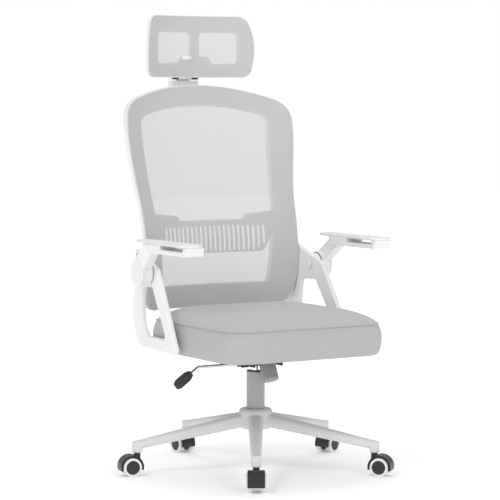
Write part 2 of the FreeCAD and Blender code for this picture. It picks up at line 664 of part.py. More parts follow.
# Seat: plywood pan and padded cushion.
tab_z = pan_under - d.bracket_tab_thickness
tab_bolts = [(175, d.bracket_tab_front + 18), (175, d.bracket_tab_rear - 18)]
pan_body = padded("pan_body", "XY_Plane", [
    (-pan_half_width, -pan_front), (pan_half_width, -pan_front),
    (pan_half_width, pan_rear), (-pan_half_width, pan_rear)], d.pan_thickness)
doc.recompute()
corners = pan_body.newObject("PartDesign::Fillet", "pan_corners")
uprights = ["Edge%d" % (number + 1) for number, edge in enumerate(pan_body.Shape.Edges)
            if edge.BoundBox.ZLength > float(d.pan_thickness) - 0.01]
corners.Base = (pan_body.Tip if pan_body.Tip.Name != corners.Name else corners.BaseFeature, uprights)
bind(corners, "Radius", d.pan_corner)
place(pan_body, 0, 0, pan_under)
pan_holes = [rod("pan_hole_%d" % number, "z", spot, bolt_radius, pan_under - 1, pan_top - 2)
             for number, spot in enumerate(plate_bolts + tab_bolts + [(-x, y) for x, y in tab_bolts])]
named("seat_pan", cut("seat_pan", pan_body, *pan_holes))


def seat_ring(height, inset, corner):
    half_width = float(seat_half) - inset
    return rounded_frame(-half_width, half_width, -float(d.seat_front) + inset, float(d.seat_rear) - inset,
                         corner,
                         lambda u, v: Vector(u, v, height))


skirt_low, seam_z = float(pan_under - d.skirt_drop), float(pan_under + d.seam_height)
crown_z = float(pan_under + d.crown_height)
corner, rise = float(d.seat_corner), float(d.crown_height - d.seam_height)
sides = [(skirt_low, 13, -12), (skirt_low + 14, 4, -4), (skirt_low + 44, 0, 0), (seam_z - 12, 2, -2),
         (seam_z, 7, -6)]
crown = [sides[-1]]
for share in (0.35, 0.62, 0.82, 0.94, 1):
    drawn_in = float(d.crown_inset) * (1 - math.sqrt(1 - share ** 2))
    crown.append((seam_z + rise * share, 7 + drawn_in, -6))
cushion = Part.makeLoft([seat_ring(z, inset, corner + more) for z, inset, more in sides], True, False)
cushion = cushion.fuse(Part.makeLoft([seat_ring(z, inset, corner + more) for z, inset, more in crown], True,
                                     True))
pan_half, spare = float(pan_half_width + gap), float(pan_top + gap) - skirt_low + 1
pocket_wire = rounded_frame(-pan_half, pan_half, -float(pan_front + gap), float(pan_rear + gap),
                            float(d.pan_corner), lambda u, v: Vector(u, v, skirt_low - 1))
pocket = Part.Face(pocket_wire).extrude(Vector(0, 0, spare))
notches = [Part.makeBox(40, float(d.bracket_tab_rear - d.bracket_tab_front) + 2,
                        float(d.skirt_drop) + 1 + float(gap),
                        Vector(x, float(d.bracket_tab_front) - 1, skirt_low - 1))
           for x in (pan_half - 5, -pan_half - 35)]
named("seat_cushion", solid("seat_cushion", cushion.cut([pocket] + notches)))


# Back: a curved slab, trimmed to frame, mesh sheet and lumbar panel.
def curve_through(points):
    """Smooth curve through points, read back by its share of the height."""
    curve = Part.BSplineCurve()
    curve.interpolate([Vector(y, 0, z) for y, z in points])
    line = curve.toShape()

    def setback(z):
        flat = Part.LineSegment(Vector(-2000, 0, z), Vector(2000, 0, z)).toShape()
        return line.distToShape(flat)[1][0][0].x

    return setback


def slab(setback, drop, half_width, low, high, start, thickness):
    """Doubly curved slab: `setback` runs up the middle and `drop` brings the sides forward."""
    rows = []
    for row in range(11):
        z = low + (high - low) * row / 10
        middle = setback(z)
        rows.append([Vector(x, middle - drop(x) + start, z)
                     for x in (half_width * (column - 6) / 6 for column in range(13))])
    surface = Part.BSplineSurface()
    surface.interpolate(rows)
    return surface.toShape().extrude(Vector(0, thickness, 0))


def through(wire):
    """Prism along Y from an outline in X and Z."""
    return Part.Face(wire).extrude(Vector(0, 1000, 0))


def front(x, z):
    return Vector(x, -200, z)


def outline(edges):
    """Wire from mirrored pieces: each edge is given as points, two for a line and three for an arc."""
    made = []
    for points in edges:
        spots = [front(*point) for point in points]
        if len(spots) == 2:
            made.append(Part.LineSegment(*spots).toShape())
        elif len(spots) == 3:
            made.append(Part.Arc(*spots).toShape())
        else:
            curve = Part.BSplineCurve()
            curve.interpolate(spots)
            made.append(curve.toShape())
    return Part.Wire(made)


def mirrored(points):
    return [(-x, z) for x, z in reversed(points)]


zb, zt = float(back_low), float(back_high)
tall = zt - zb
stations = [(float(setback), zb + tall * share) for setback, share in (
    (d.back_setback_bottom, 0), (d.back_setback_waist, 0.17), (d.back_setback_lumbar, 0.35),
    (d.back_setback_middle, 0.54), (d.back_setback_upper, 0.77), (d.back_setback_top, 1))]
back_middle = curve_through([(stations[0][0] + 6, zb - 20)] + stations + [(stations[-1][0] + 2, zt + 20)])
wrap_half = float(back_waist_half)


def back_drop(x):
    return float(d.back_wrap) * (abs(x) / wrap_half) ** 2.5


def back_slab(start, thickness):
    return slab(back_middle, back_drop, float(back_shoulder_half) + 10, zb - 10, zt + 10, start, thickness)


def back_outline(inset):
    """Outer edge of the back, drawn in by an inset."""
    foot, waist = float(back_bottom_half) - inset, float(back_waist_half) - inset
    wide, low, high = float(back_shoulder_half) - inset, zb + inset, zt - inset
    crown, turn = float(d.back_crown), float(d.back_shoulder_turn)
    corner = (wide - 0.69 * turn, high - crown * (1 - 0.69 * turn / wide) ** 2)
    side = [(foot + 17, low + 24), (waist - 3, low + tall * 0.12), (waist, low + tall * 0.3),
            (waist + 5, low + tall * 0.52), (wide - 1, low + tall * 0.74), (wide, corner[1] - 0.95 * turn)]
    toe = [(foot - 22, low), (foot + 5, low + 7), (foot + 17, low + 24)]
    ear = [(wide, corner[1] - 0.95 * turn), (wide - 0.19 * turn, corner[1] - 0.36 * turn), corner]
    top = [corner, (0, high), (-corner[0], corner[1])]
    return outline([[(-foot + 22, low), (foot - 22, low)], toe, side, ear, top,
                    mirrored(ear), mirrored(side), mirrored(toe)])


wh, rail = float(d.window_half), zt - float(d.window_top_rail)
wt = wh + float(d.window_flare)
fall = float(d.window_crown)
bar_high, bar_low, bar_side = (zb + float(size) for size in (d.crossbar_high, d.crossbar_low,
                                                             d.crossbar_shoulder))
notch = float(d.crossbar_notch_half)
window_side = [(wh - 3, bar_side), (wt, rail - fall - 24)]
window_ear = [(wt, rail - fall - 24), (wt - 6, rail - fall - 8), (wt - 21, rail - fall + 5)]
window_top = [(wt - 21, rail - fall + 5), (0, rail), (21 - wt, rail - fall + 5)]
step = [(notch, bar_high), (notch + 10, bar_high + 14)]
shelf = [(notch + 10, bar_high + 14), (wh - 3, bar_side)]
upper_window = outline([[(-notch, bar_high), (notch, bar_high)], step, shelf, window_side, window_ear,
                        window_top,
                        mirrored(window_ear), mirrored(window_side), mirrored(shelf), mirrored(step)])
lw, sill = float(d.lower_window_half), zb + float(d.lower_window_low)
flare, nook = float(d.lower_window_flare), float(d.lower_window_corner)


def lower_edge(z):
    """Half width of the lower window: it opens upwards with the outer edge."""
    return lw + flare * (z - sill) / (bar_low - sill)


sill_corner = [(lw - nook, sill), (lw - nook * 0.28, sill + nook * 0.3), (lower_edge(sill + nook),
                                                                          sill + nook)]
head_corner = [(lower_edge(bar_low - nook), bar_low - nook), (lw + flare - nook * 0.31,
                                                              bar_low - nook * 0.29),
               (lw + flare - nook, bar_low)]
lower_side = [sill_corner[-1], head_corner[0]]
lower_window = outline([[(nook - lw, sill), (lw - nook, sill)], sill_corner, lower_side, head_corner,
                        [head_corner[-1],
                         mirrored(head_corner)[0]], mirrored(head_corner), mirrored(lower_side),
                        mirrored(sill_corner)])
thickness, clearance = float(d.back_thickness), float(gap)
mesh_thick, mesh_gap = float(d.mesh_thickness), float(d.mesh_gap)
frame = back_slab(0, thickness).common(through(back_outline(0)))
frame = frame.cut([through(upper_window), through(lower_window)])


def bracket_face(y):
    """Inner face of the left bracket: it flares towards the front."""
    return float(bracket_spread) + float(d.bracket_flare) * (float(d.arm_pivot_setback) - y)


back_edge_x = float(back_waist_half) - 6
back_bolts = []
for share in (0.19, 0.255):
    z = zb + tall * share
    y = back_middle(z) - back_drop(back_edge_x) + thickness / 2
    back_bolts.append((y, z))
screw_radius = float(bolt_radius)
holes = []
for y, z in back_bolts:
    for sign in (1, -1):
        holes.append(Part.makeCylinder(screw_radius, 80, Vector(sign * (back_edge_x - 12), y, z),
                                       Vector(sign, 0, 0)))
guide_screw_z = float(back_high - d.guide_arm_drop) - float(d.guide_arm_height) * 0.1
guide_screws = [(x, back_middle(guide_screw_z) - back_drop(x), guide_screw_z) for x in (-18, 18)]
for x, y, z in guide_screws:
    holes.append(Part.makeCylinder(screw_radius, 40, Vector(x, y + 6, z), Vector(0, 1, 0)))
named("back_frame", solid("back_frame", frame.cut(holes).removeSplitter()))

sheet_slab = back_slab(-mesh_gap - mesh_thick, mesh_thick)
named("back_mesh", solid("back_mesh", sheet_slab.common(through(back_outline(float(d.back_edge_width) / 4)))))

panel_top = bar_low - clearance
panel_low = panel_top - float(d.lumbar_height)
panel_foot, turn = float(d.lumbar_foot_half), nook + 4


def panel_edge(z):
    return lower_edge(z) - clearance


tip, bend = panel_top - 26, panel_top - turn
skirt = [(panel_foot + 8, panel_low), (panel_foot + 24, panel_low + 4), (panel_foot + 34, panel_low + 16)]
flank = [skirt[-1], (panel_edge(tip), tip)]
upright = [flank[-1], (panel_edge(bend), bend)]
shoulder_arc = [upright[-1], (panel_edge(panel_top) - turn * 0.31, panel_top - turn * 0.29),
                (panel_edge(panel_top) - turn, panel_top)]
panel = outline([[mirrored(skirt)[-1], skirt[0]], skirt, flank, upright, shoulder_arc,
                 [shoulder_arc[-1], mirrored(shoulder_arc)[0]], mirrored(shoulder_arc), mirrored(upright),
                 mirrored(flank), mirrored(skirt)])
slot_low, slot_high = panel_low + float(d.lumbar_slot_margin), panel_top - float(d.lumbar_slot_margin)
pitch, width = float(d.lumbar_slot_pitch), float(d.lumbar_slot_width)
count = int(float(d.lumbar_slots))
slots = []
for index in range(count):
    x = (index - (count - 1) / 2) * pitch
    rise = max(0, abs(x) - panel_foot) * 0.5
    slots.append(Part.makeBox(width, 1000, slot_high - slot_low - rise, Vector(x - width / 2, -200,
                                                                               slot_low + rise)))
lumbar = back_slab(0, float(d.lumbar_thickness)).common(through(panel)).cut(slots)
named("lumbar_panel", solid("lumbar_panel", lumbar))


# Arm brackets: flared triangular loops from the seat pan to the back frame.
def bracket_shape():
    """Left bracket with its tab, pivot boss and screw holes."""
    low, pivot_y, pivot_z = float(tab_z), float(d.arm_pivot_setback), float(arm_pivot_z)
    thick, bar = float(d.bracket_thickness), float(d.bracket_bar_height)
    rear_z, toe, heel = back_bolts[1][1], -float(d.bracket_toe), float(d.bracket_heel)
    rim = [(toe, low), (heel - 69, low), (heel - 37, low + 10), (heel - 9, low + 55), (heel, low + 104),
           (heel - 18, low + 156), (heel - 22, rear_z + 15), (heel - 45, rear_z + 16),
           (pivot_y - 50, pivot_z + 10)]
    opening = [(toe + 70, low + bar), (heel - 99, low + bar - 1), (heel - 74, low + bar + 27),
               (heel - 64, low + bar + 72), (heel - 75, low + bar + 130), (pivot_y - 21, low + bar + 133)]

    def leaf(points, rounding):
        plate = prism([(bracket_face(y), y, z) for y, z in points], Vector(thick, 0, 0))
        return plate.makeFillet(rounding, edges_along(plate, Vector(1, 0, 0)))

    loop = leaf(rim, 12).cut(leaf(opening, 10))
    rounding = float(d.bracket_edge)
    edges = [edge for edge in loop.Edges if edge not in edges_along(loop, Vector(1, 0, 0))
             and edge.Curve.TypeId in ("Part::GeomLine", "Part::GeomCircle", "Part::GeomEllipse")]
    loop = loop.makeFillet(rounding, edges)
    slot_room = float(d.frame_slot_room)
    passage = back_slab(-mesh_gap - mesh_thick - slot_room, mesh_gap + mesh_thick + thickness + 2 * slot_room)
    loop = loop.cut(passage.common(through(back_outline(-slot_room))))
    boss_end = float(eye_inner) - clearance
    face = bracket_face(pivot_y)
    boss = Part.makeCylinder(float(d.boss_diameter) / 2, boss_end - face - 6, Vector(face + 6, pivot_y,
                                                                                     pivot_z),
                             Vector(1, 0, 0))
    tab_y, tab_end = float(d.bracket_tab_front), float(d.bracket_tab_rear)
    tab_x = float(d.bracket_tab_reach)
    tab = prism([(tab_x, tab_y, low), (bracket_face(tab_y) + thick / 2, tab_y, low),
                 (bracket_face(tab_end) + thick / 2, tab_end, low), (tab_x, tab_end, low)],
                Vector(0, 0, float(d.bracket_tab_thickness)))
    holes = [Part.makeCylinder(float(d.arm_pivot_diameter) / 2, 120, Vector(face - 40, pivot_y, pivot_z),
                               Vector(1, 0, 0))]
    for y, z in back_bolts:
        holes.append(Part.makeCylinder(screw_radius, 60, Vector(back_edge_x - 10, y, z), Vector(1, 0, 0)))
    for x, y in tab_bolts:
        holes.append(Part.makeCylinder(screw_radius, 20, Vector(x, float(y), low - 5)))
    return loop.fuse([boss, tab]).cut(holes).removeSplitter()


def both_sides(name, shape):
    """A piece for the left arm and its mirror image for the right one."""
    named(name + "_left", solid(name + "_left", shape))
    named(name + "_right", solid(name + "_right", shape.mirror(Vector(), Vector(1, 0, 0))))


def screw_shape(seat, direction, length, radius, head_radius):
    """Screw with its head standing on `seat`."""
    shank = Part.makeCylinder(radius, length, seat, direction)
    return shank.fuse(Part.makeCylinder(head_radius, 4, seat - direction * 4, direction))


both_sides("arm_bracket", bracket_shape())
screws = []
for y, z in back_bolts:
    seat = Vector(bracket_face(y) + float(d.bracket_thickness) + 1, y, z)
    screws.append(screw_shape(seat, Vector(-1, 0, 0), seat.x - back_edge_x + 10, screw_radius,
                              screw_radius + 3))
for x, y in tab_bolts:
    screws.append(screw_shape(Vector(x, float(y), float(tab_z)), Vector(0, 0, 1), 14, screw_radius,
                              screw_radius + 3))
screws += [screw.mirror(Vector(), Vector(1, 0, 0)) for screw in screws]
for x, y, z in guide_screws:
    screws.append(Part.makeCylinder(screw_radius, 35, Vector(x, y + 7, z), Vector(0, 1, 0)))
named("frame_screws", solid("frame_screws", Part.makeCompound(screws)))

pivot_y, pivot_z = float(d.arm_pivot_setback), float(arm_pivot_z)
pivot_radius = float(d.arm_pivot_diameter) / 2
bolt_seat = bracket_face(pivot_y) - 2
pivot_bolt = screw_shape(Vector(bolt_seat, pivot_y, pivot_z), Vector(1, 0, 0),
                         float(eye_outer) - 3 - bolt_seat, pivot_radius, 10)
pivot_bolts = [pivot_bolt, pivot_bolt.mirror(Vector(), Vector(1, 0, 0))]
named("arm_pivot_bolts", solid("arm_pivot_bolts", Part.makeCompound(pivot_bolts)))


# Armrests: slim loop with a slot, a neck down to the pivot eye, a pad and a round cap.
def armrest_shape():
    top = pivot_z + float(d.arm_pad_height) - float(d.arm_pad_thickness)
    low = top + float(d.arm_pad_thickness) - float(d.arm_beam_drop)
    inner = float(arm_pad_centre) - float(d.arm_pad_width) / 2 + 3
    outer, eye_out = float(arm_pad_centre) + float(d.arm_pad_width) / 2 - 3, float(eye_outer)
    nose, rear = -float(d.arm_pad_front), pivot_y - float(d.neck_rear_top)
    head = pivot_y - float(d.neck_front_top)
    loop = prism([(inner, nose + 4, top), (inner, nose + 12, low), (inner, head + 6, low), (inner, rear - 12,
                                                                                            top)],
                 Vector(outer - inner, 0, 0))
    slot_y, slot_end = -float(d.arm_slot_front), -float(d.arm_slot_rear)
    beam_top = low + float(d.arm_beam_height)
    slot = Part.makeBox(100, slot_end - slot_y, top - beam_top + 5, Vector(inner - 10, slot_y, beam_top))
    eye_in, eye_radius = float(eye_inner), float(d.eye_diameter) / 2
    foot, foot_z = float(d.neck_foot_half), pivot_z + 12
    side = [(rear, top), (head, top), (head, low + 2), (pivot_y - foot, foot_z), (pivot_y, pivot_z),
            (pivot_y + foot, foot_z)]
    web = prism([(eye_in + float(d.neck_splay) * (z - pivot_z), y, z) for y, z in side],
                Vector(float(d.neck_thickness), 0, 0))

    def round_pivot(radius, start, length):
        return Part.makeCylinder(radius, length, Vector(start, pivot_y, pivot_z), Vector(1, 0, 0))

    eye = round_pivot(eye_radius, eye_in, eye_out - eye_in)
    clear_cap = round_pivot(eye_radius + clearance, eye_out, 60)
    hole = round_pivot(pivot_radius + float(run), eye_in - 20, 100)
    return loop.cut(slot).fuse(web).fuse(eye).cut(clear_cap).cut(hole).removeSplitter()


def pad_shape():
    low = pivot_z + float(d.arm_pad_height) - float(d.arm_pad_thickness)
    centre, half_width, tail = (float(arm_pad_centre), float(d.arm_pad_width) / 2,
                                float(d.arm_pad_tail_width) / 2)
    front_y, rear_y = -float(d.arm_pad_front), float(d.arm_pad_rear)

    def at(x, y):
        return Vector(centre + x, y, low)

    edges = [Part.Arc(at(-half_width, front_y + 22), at(0, front_y), at(half_width, front_y + 22)),
             Part.LineSegment(at(half_width, front_y + 22), at(tail, rear_y - tail * 0.7)),
             Part.Arc(at(tail, rear_y - tail * 0.7), at(0, rear_y), at(-tail, rear_y - tail * 0.7)),
             Part.LineSegment(at(-tail, rear_y - tail * 0.7), at(-half_width, front_y + 22))]
    thick = float(d.arm_pad_thickness)
    plate = Part.Face(Part.Wire([edge.toShape() for edge in edges])).extrude(Vector(0, 0, thick))
    return plate.makeFillet(thick * 0.4,
                            [edge for edge in plate.Edges if edge.BoundBox.ZMin > low + thick - 0.01])


both_sides("armrest_frame", armrest_shape())
both_sides("arm_pad", pad_shape())
cap = Part.makeCylinder(float(d.eye_diameter) / 2, float(d.cap_thickness),
                        Vector(float(eye_outer), pivot_y, pivot_z), Vector(1, 0, 0))
cap = cap.makeFillet(1.5, [edge for edge in cap.Edges if edge.BoundBox.XMin > float(eye_outer) + 1])
both_sides("pivot_cap", cap)

# Headrest: guide on the back frame, sliding post, tilting bracket and the curved mesh frame.
post_y, post_half = d.post_setback, d.post_width / 2
post_front, post_rear = post_y - d.post_thickness / 2, post_y + d.post_thickness / 2
guide_low = guide_top - d.guide_height
sleeve = box("guide_sleeve", (-d.guide_width / 2, d.guide_width / 2),
             (post_y - d.guide_depth / 2, post_y + d.guide_depth / 2), (guide_low, guide_top))
channel = box("guide_channel", (-post_half - gap, post_half + gap), (post_front - gap, post_rear + gap),
              (guide_low - 1, guide_top + 1))
arm_top = back_high - d.guide_arm_drop + d.guide_arm_height / 4
arm_block = box("guide_arm", (-d.guide_arm_width / 2, d.guide_arm_width / 2),
                (d.back_setback_top - 10, post_y - d.guide_depth / 2 + 1), (arm_top - d.guide_arm_height,
                                                                            arm_top))
against = solid("guide_against", back_slab(-60, thickness + 60))
screw_holes = [rod("guide_screw_hole_%d" % number, "y", (x, z), bolt_radius, y + 4, y + 44)
               for number, (x, y, z) in enumerate(guide_screws)]
named("post_guide", cut("post_guide", fuse("guide_blank", sleeve, arm_block), channel, against, *screw_holes))

bracket_low = guide_top + d.head_bracket_gap
bracket_top = bracket_low + d.head_bracket_height
post_top = bracket_top - 10
named("headrest_post", box("headrest_post", (-post_half, post_half), (post_front, post_rear),
                           (guide_low + d.post_end_gap, post_top)))
pin_y, pin_z = d.head_pin_setback, back_high + d.head_pin_rise
knuckle_half = d.knuckle_width / 2
head_pin_radius = d.head_pin_diameter / 2
carrier = box("carrier", (-d.guide_width / 2, d.guide_width / 2), (post_front - 4, post_rear + 4),
              (bracket_low, bracket_top))
arm = box("carrier_arm", (-knuckle_half, knuckle_half), (pin_y, post_front), (pin_z - 9, pin_z + 9))
knuckle = rod("carrier_knuckle", "x", (pin_y, pin_z), d.knuckle_diameter / 2, -knuckle_half, knuckle_half)
post_pocket = box("carrier_pocket", (-post_half, post_half), (post_front, post_rear), (bracket_low - 1,
                                                                                       post_top))
knuckle_bore = rod("carrier_bore", "x", (pin_y, pin_z), head_pin_radius, -60, 60)
named("headrest_bracket", cut("headrest_bracket", fuse("carrier_blank", carrier, arm, knuckle),
                              post_pocket, knuckle_bore))
named("headrest_pin", rod("headrest_pin", "x", (pin_y, pin_z), head_pin_radius,
                          -knuckle_half - d.lug_thickness - 2, knuckle_half + d.lug_thickness + 2))

hl, hh = float(head_low), float(head_low + d.head_height)
head_half, end_half = float(d.head_half), float(d.head_half - d.head_end_inset)
head_mid = (hl + hh) / 2


def head_middle(z):
    return float(d.head_setback) + float(d.head_bulge) * ((z - head_mid) / (hh - head_mid)) ** 2


def head_drop(x):
    return float(d.head_wrap) * (x / head_half) ** 2


def head_slab(start, thick):
    return slab(head_middle, head_drop, head_half + 10, hl - 10, hh + 10, start, thick)


def head_outline(inset):
    side, end, low, high = head_half - inset, end_half - inset, hl + inset, hh - inset
    foot = [(end - 14, low), (end + 6, low + 7), (side - 4, low + 27)]
    edge = [(side - 4, low + 27), (side, low + 62), (end + 6, high - 24)]
    ear = [(end + 6, high - 24), (end - 4, high - 7), (end - 26, high)]
    return outline([[(14 - end, low), (end - 14, low)], foot, edge, ear, [(end - 26, high), (26 - end, high)],
                    mirrored(ear), mirrored(edge), mirrored(foot)])


win_low = hl + float(d.head_window_low)
win_high = win_low + float(d.head_window_height)
win_half, bar_half = head_half - float(d.head_side_rail), float(d.head_bar_width) / 2
boss_top, boss_foot = float(d.head_boss_half), float(d.head_boss_foot)
boss_z = win_low + float(d.head_boss_height)
openings = []
for sign in (1, -1):
    ring = rounded_frame(bar_half, win_half, win_low, win_high, 12, lambda x, z: front(sign * x, z))
    openings.append(through(ring))
boss = through(outline([[(-boss_foot, win_low - 3), (boss_foot, win_low - 3)], [(boss_foot, win_low - 3),
                                                                                (boss_top, boss_z)],
                        [(boss_top, boss_z), (-boss_top, boss_z)], [(-boss_top, boss_z), (-boss_foot,
                                                                                          win_low - 3)]]))
head_thick = float(d.head_thickness)
whole = head_slab(0, head_thick)
ring = whole.common(through(head_outline(0))).cut(openings).fuse(whole.common(boss))
py, pz, eye = float(pin_y), float(pin_z), float(d.knuckle_diameter) / 2
lug_in, lug_thick = float(knuckle_half) + clearance, float(d.lug_thickness)
lug_start = float(d.head_setback) - head_thick
for sign in (1, -1):
    x = lug_in if sign > 0 else -lug_in - lug_thick
    arm = Part.makeBox(lug_thick, py - lug_start, 2 * eye, Vector(x, lug_start, pz - eye))
    arm = arm.cut(head_slab(-60, 60 + head_thick / 2))
    end = Part.makeCylinder(eye, lug_thick, Vector(x, py, pz), Vector(1, 0, 0))
    ring = ring.fuse([arm, end])
hinge = Part.makeCylinder(float(head_pin_radius + run), 100, Vector(-50, py, pz), Vector(1, 0, 0))
named("headrest_frame", solid("headrest_frame", ring.cut(hinge).removeSplitter()))
head_sheet = head_slab(-mesh_gap - mesh_thick, mesh_thick).common(through(head_outline(2)))
named("headrest_mesh", solid("headrest_mesh", head_sheet))

doc.recompute()
os.makedirs("parts", exist_ok=True)
for item in doc.Objects:
    if "Invalid" in item.State or "Error" in item.State:
        raise RuntimeError("%s did not build: %s" % (item.Label, item.State))
for label, item in nodes.items():
    if item.Shape.isNull() or not item.Shape.isValid() or not item.Shape.Solids:
        raise RuntimeError("%s has no sound solid" % label)
for label, item in nodes.items():
    item.Shape.exportStep("parts/%s.step" % label)
print("%d nodes written" % len(nodes))
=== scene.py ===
import json
import math

import bmesh
import bpy
from mathutils import Matrix, Vector


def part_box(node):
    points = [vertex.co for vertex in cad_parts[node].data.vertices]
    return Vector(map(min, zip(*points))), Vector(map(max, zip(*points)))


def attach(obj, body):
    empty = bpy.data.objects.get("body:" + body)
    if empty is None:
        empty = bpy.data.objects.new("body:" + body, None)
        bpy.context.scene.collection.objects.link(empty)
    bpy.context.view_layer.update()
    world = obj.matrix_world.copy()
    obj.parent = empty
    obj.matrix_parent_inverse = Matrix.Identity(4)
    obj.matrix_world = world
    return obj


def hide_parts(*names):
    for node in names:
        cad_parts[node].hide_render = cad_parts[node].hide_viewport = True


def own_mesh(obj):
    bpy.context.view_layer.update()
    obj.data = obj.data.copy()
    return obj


# %% [markdown]
# # A mesh-back office chair
# The chair stands on five casters, with a gas lift, a padded seat, a mesh back on a plastic
# frame, a headrest and two armrests that flip up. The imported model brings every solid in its
# place, so each piece made here sits on those solids and rides on their bodies.

# %% Load the frame
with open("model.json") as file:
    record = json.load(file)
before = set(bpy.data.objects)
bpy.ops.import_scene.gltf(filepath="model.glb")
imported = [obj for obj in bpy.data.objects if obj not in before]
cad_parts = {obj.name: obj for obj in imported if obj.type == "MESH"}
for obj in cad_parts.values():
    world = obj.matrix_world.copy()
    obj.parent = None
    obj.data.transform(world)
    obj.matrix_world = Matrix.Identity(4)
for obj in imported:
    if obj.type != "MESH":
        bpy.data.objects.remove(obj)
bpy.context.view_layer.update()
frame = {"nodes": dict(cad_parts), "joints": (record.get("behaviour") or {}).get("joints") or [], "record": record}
nodes = frame["nodes"]
home = {node: body for body, names in frame["record"]["behaviour"]["bodies"].items()
        for node in names}
slot_of = {part["node"]: part["material_slot"] for part in frame["record"]["subparts"]}
joints = {joint["name"]: joint for joint in frame["joints"]}
scene = bpy.context.scene
SIDES = (("left", 1), ("right", -1))
CASTERS = range(1, 6)
FULL_TURN = 2 * math.pi

# %% [markdown]
# ## Effects that several finishes share
# Moulded plastic is never perfectly smooth: the steel mould leaves a fine grain and the colour
# drifts a little. One node group gives a tone and a height for that, and each plastic sets how
# coarse it is. A noise texture on object coordinates keeps its scale in metres and needs no UVs.


# %% Helper for node groups
def effect(name, inputs, outputs):
    """New shader node group; inputs are name, kind and default, outputs are names of plain values."""
    tree = bpy.data.node_groups.new(name, "ShaderNodeTree")
    for label, kind, default in inputs:
        socket = tree.interface.new_socket(label, in_out="INPUT", socket_type=kind)
        if default is not None:
            socket.default_value = default
    for label in outputs:
        tree.interface.new_socket(label, in_out="OUTPUT", socket_type="NodeSocketFloat")
    start, end = tree.nodes.new("NodeGroupInput"), tree.nodes.new("NodeGroupOutput")
    start.location, end.location = (-900, 0), (600, 0)
    return tree, start, end


def math_node(tree, operation, first, second=None, clamp=False):
    """Math node fed by sockets or by plain numbers; gives its result socket."""
    node = tree.nodes.new("ShaderNodeMath")
    node.operation, node.use_clamp = operation, clamp
    for index, value in enumerate((first, second)):
        if value is None:
            continue
        if isinstance(value, bpy.types.NodeSocket):
            tree.links.new(value, node.inputs[index])
        else:
            node.inputs[index].default_value = value
    return node.outputs[0]


# %% Mould grain
grain, start, end = effect(
    "mould_grain", [("Vector", "NodeSocketVector", None), ("Scale", "NodeSocketFloat", 900.0)],
    ("Tone", "Height"))
fine, broad = grain.nodes.new("ShaderNodeTexNoise"), grain.nodes.new("ShaderNodeTexNoise")
broad.inputs["Scale"].default_value, broad.inputs["Detail"].default_value = 7.0, 3.0
fine.inputs["Detail"].default_value = 2.0
for texture in (fine, broad):
    grain.links.new(start.outputs["Vector"], texture.inputs["Vector"])
grain.links.new(start.outputs["Scale"], fine.inputs["Scale"])
grain.links.new(broad.outputs["Fac"], end.inputs["Tone"])
grain.links.new(fine.outputs["Fac"], end.inputs["Height"])
print("group", grain.name)

# %% [markdown]
# The seat cover and the edge bands are woven. Two crossing sine waves give the over and under of
# warp and weft, and a slow noise gives the mixed yarn its cloudy tone.

# %% Plain weave
weave, start, end = effect(
    "plain_weave", [("Vector", "NodeSocketVector", None), ("Pitch", "NodeSocketFloat", 0.0016)],
    ("Tone", "Height"))
parts = weave.nodes.new("ShaderNodeSeparateXYZ")
weave.links.new(start.outputs["Vector"], parts.inputs[0])
turns = math_node(weave, "DIVIDE", FULL_TURN, start.outputs["Pitch"])
across = math_node(weave, "ADD", parts.outputs["X"], parts.outputs["Z"])
along = math_node(weave, "SUBTRACT", parts.outputs["Y"], parts.outputs["Z"])
warp = math_node(weave, "SINE", math_node(weave, "MULTIPLY", across, turns))
weft = math_node(weave, "SINE", math_node(weave, "MULTIPLY", along, turns))
crossing = math_node(weave, "MULTIPLY", warp, weft)
weave.links.new(math_node(weave, "MULTIPLY_ADD", crossing, 0.5), end.inputs["Height"])
yarn = weave.nodes.new("ShaderNodeTexNoise")
yarn.inputs["Scale"].default_value, yarn.inputs["Detail"].default_value = 520.0, 5.0
weave.links.new(start.outputs["Vector"], yarn.inputs["Vector"])
weave.links.new(yarn.outputs["Fac"], end.inputs["Tone"])
print("group", weave.name)

# %% [markdown]
# The back and the headrest are covered with open knitted mesh: rows of small eyelets, each row
# shifted by half a stitch. The holes are too small to model one by one, so a mask opens them in
# the material's alpha and what stands behind shows through, as on the real chair.

# %% Knitted mesh
HOLE_EDGE = 3.0
knit, start, end = effect(
    "knitted_mesh", [("Vector", "NodeSocketVector", None), ("Pitch", "NodeSocketFloat", 0.0034),
                     ("Opening", "NodeSocketFloat", 0.55)],
    ("Cover", "Height"))
parts = knit.nodes.new("ShaderNodeSeparateXYZ")
knit.links.new(start.outputs["Vector"], parts.inputs[0])
turns = math_node(knit, "DIVIDE", FULL_TURN, start.outputs["Pitch"])
x, z = parts.outputs["X"], parts.outputs["Z"]
rising = math_node(knit, "MULTIPLY", math_node(knit, "ADD", x, z), turns)
falling = math_node(knit, "MULTIPLY", math_node(knit, "SUBTRACT", x, z), turns)
eyelet = math_node(knit, "ADD", math_node(knit, "COSINE", rising), math_node(knit, "COSINE", falling))
inside = math_node(knit, "SUBTRACT", start.outputs["Opening"], eyelet)
edge = math_node(knit, "MULTIPLY", inside, HOLE_EDGE)
knit.links.new(math_node(knit, "ADD", edge, 0.5, clamp=True), end.inputs["Cover"])
knit.links.new(math_node(knit, "MULTIPLY", eyelet, -0.25), end.inputs["Height"])
print("group", knit.name)

# %% [markdown]
# ## Finishes
# Every finish is a Principled BSDF. What is the same all over the surface is set on its own
# socket, and only what changes over the surface comes from a group: the colour's drift, the
# roughness and the bump.


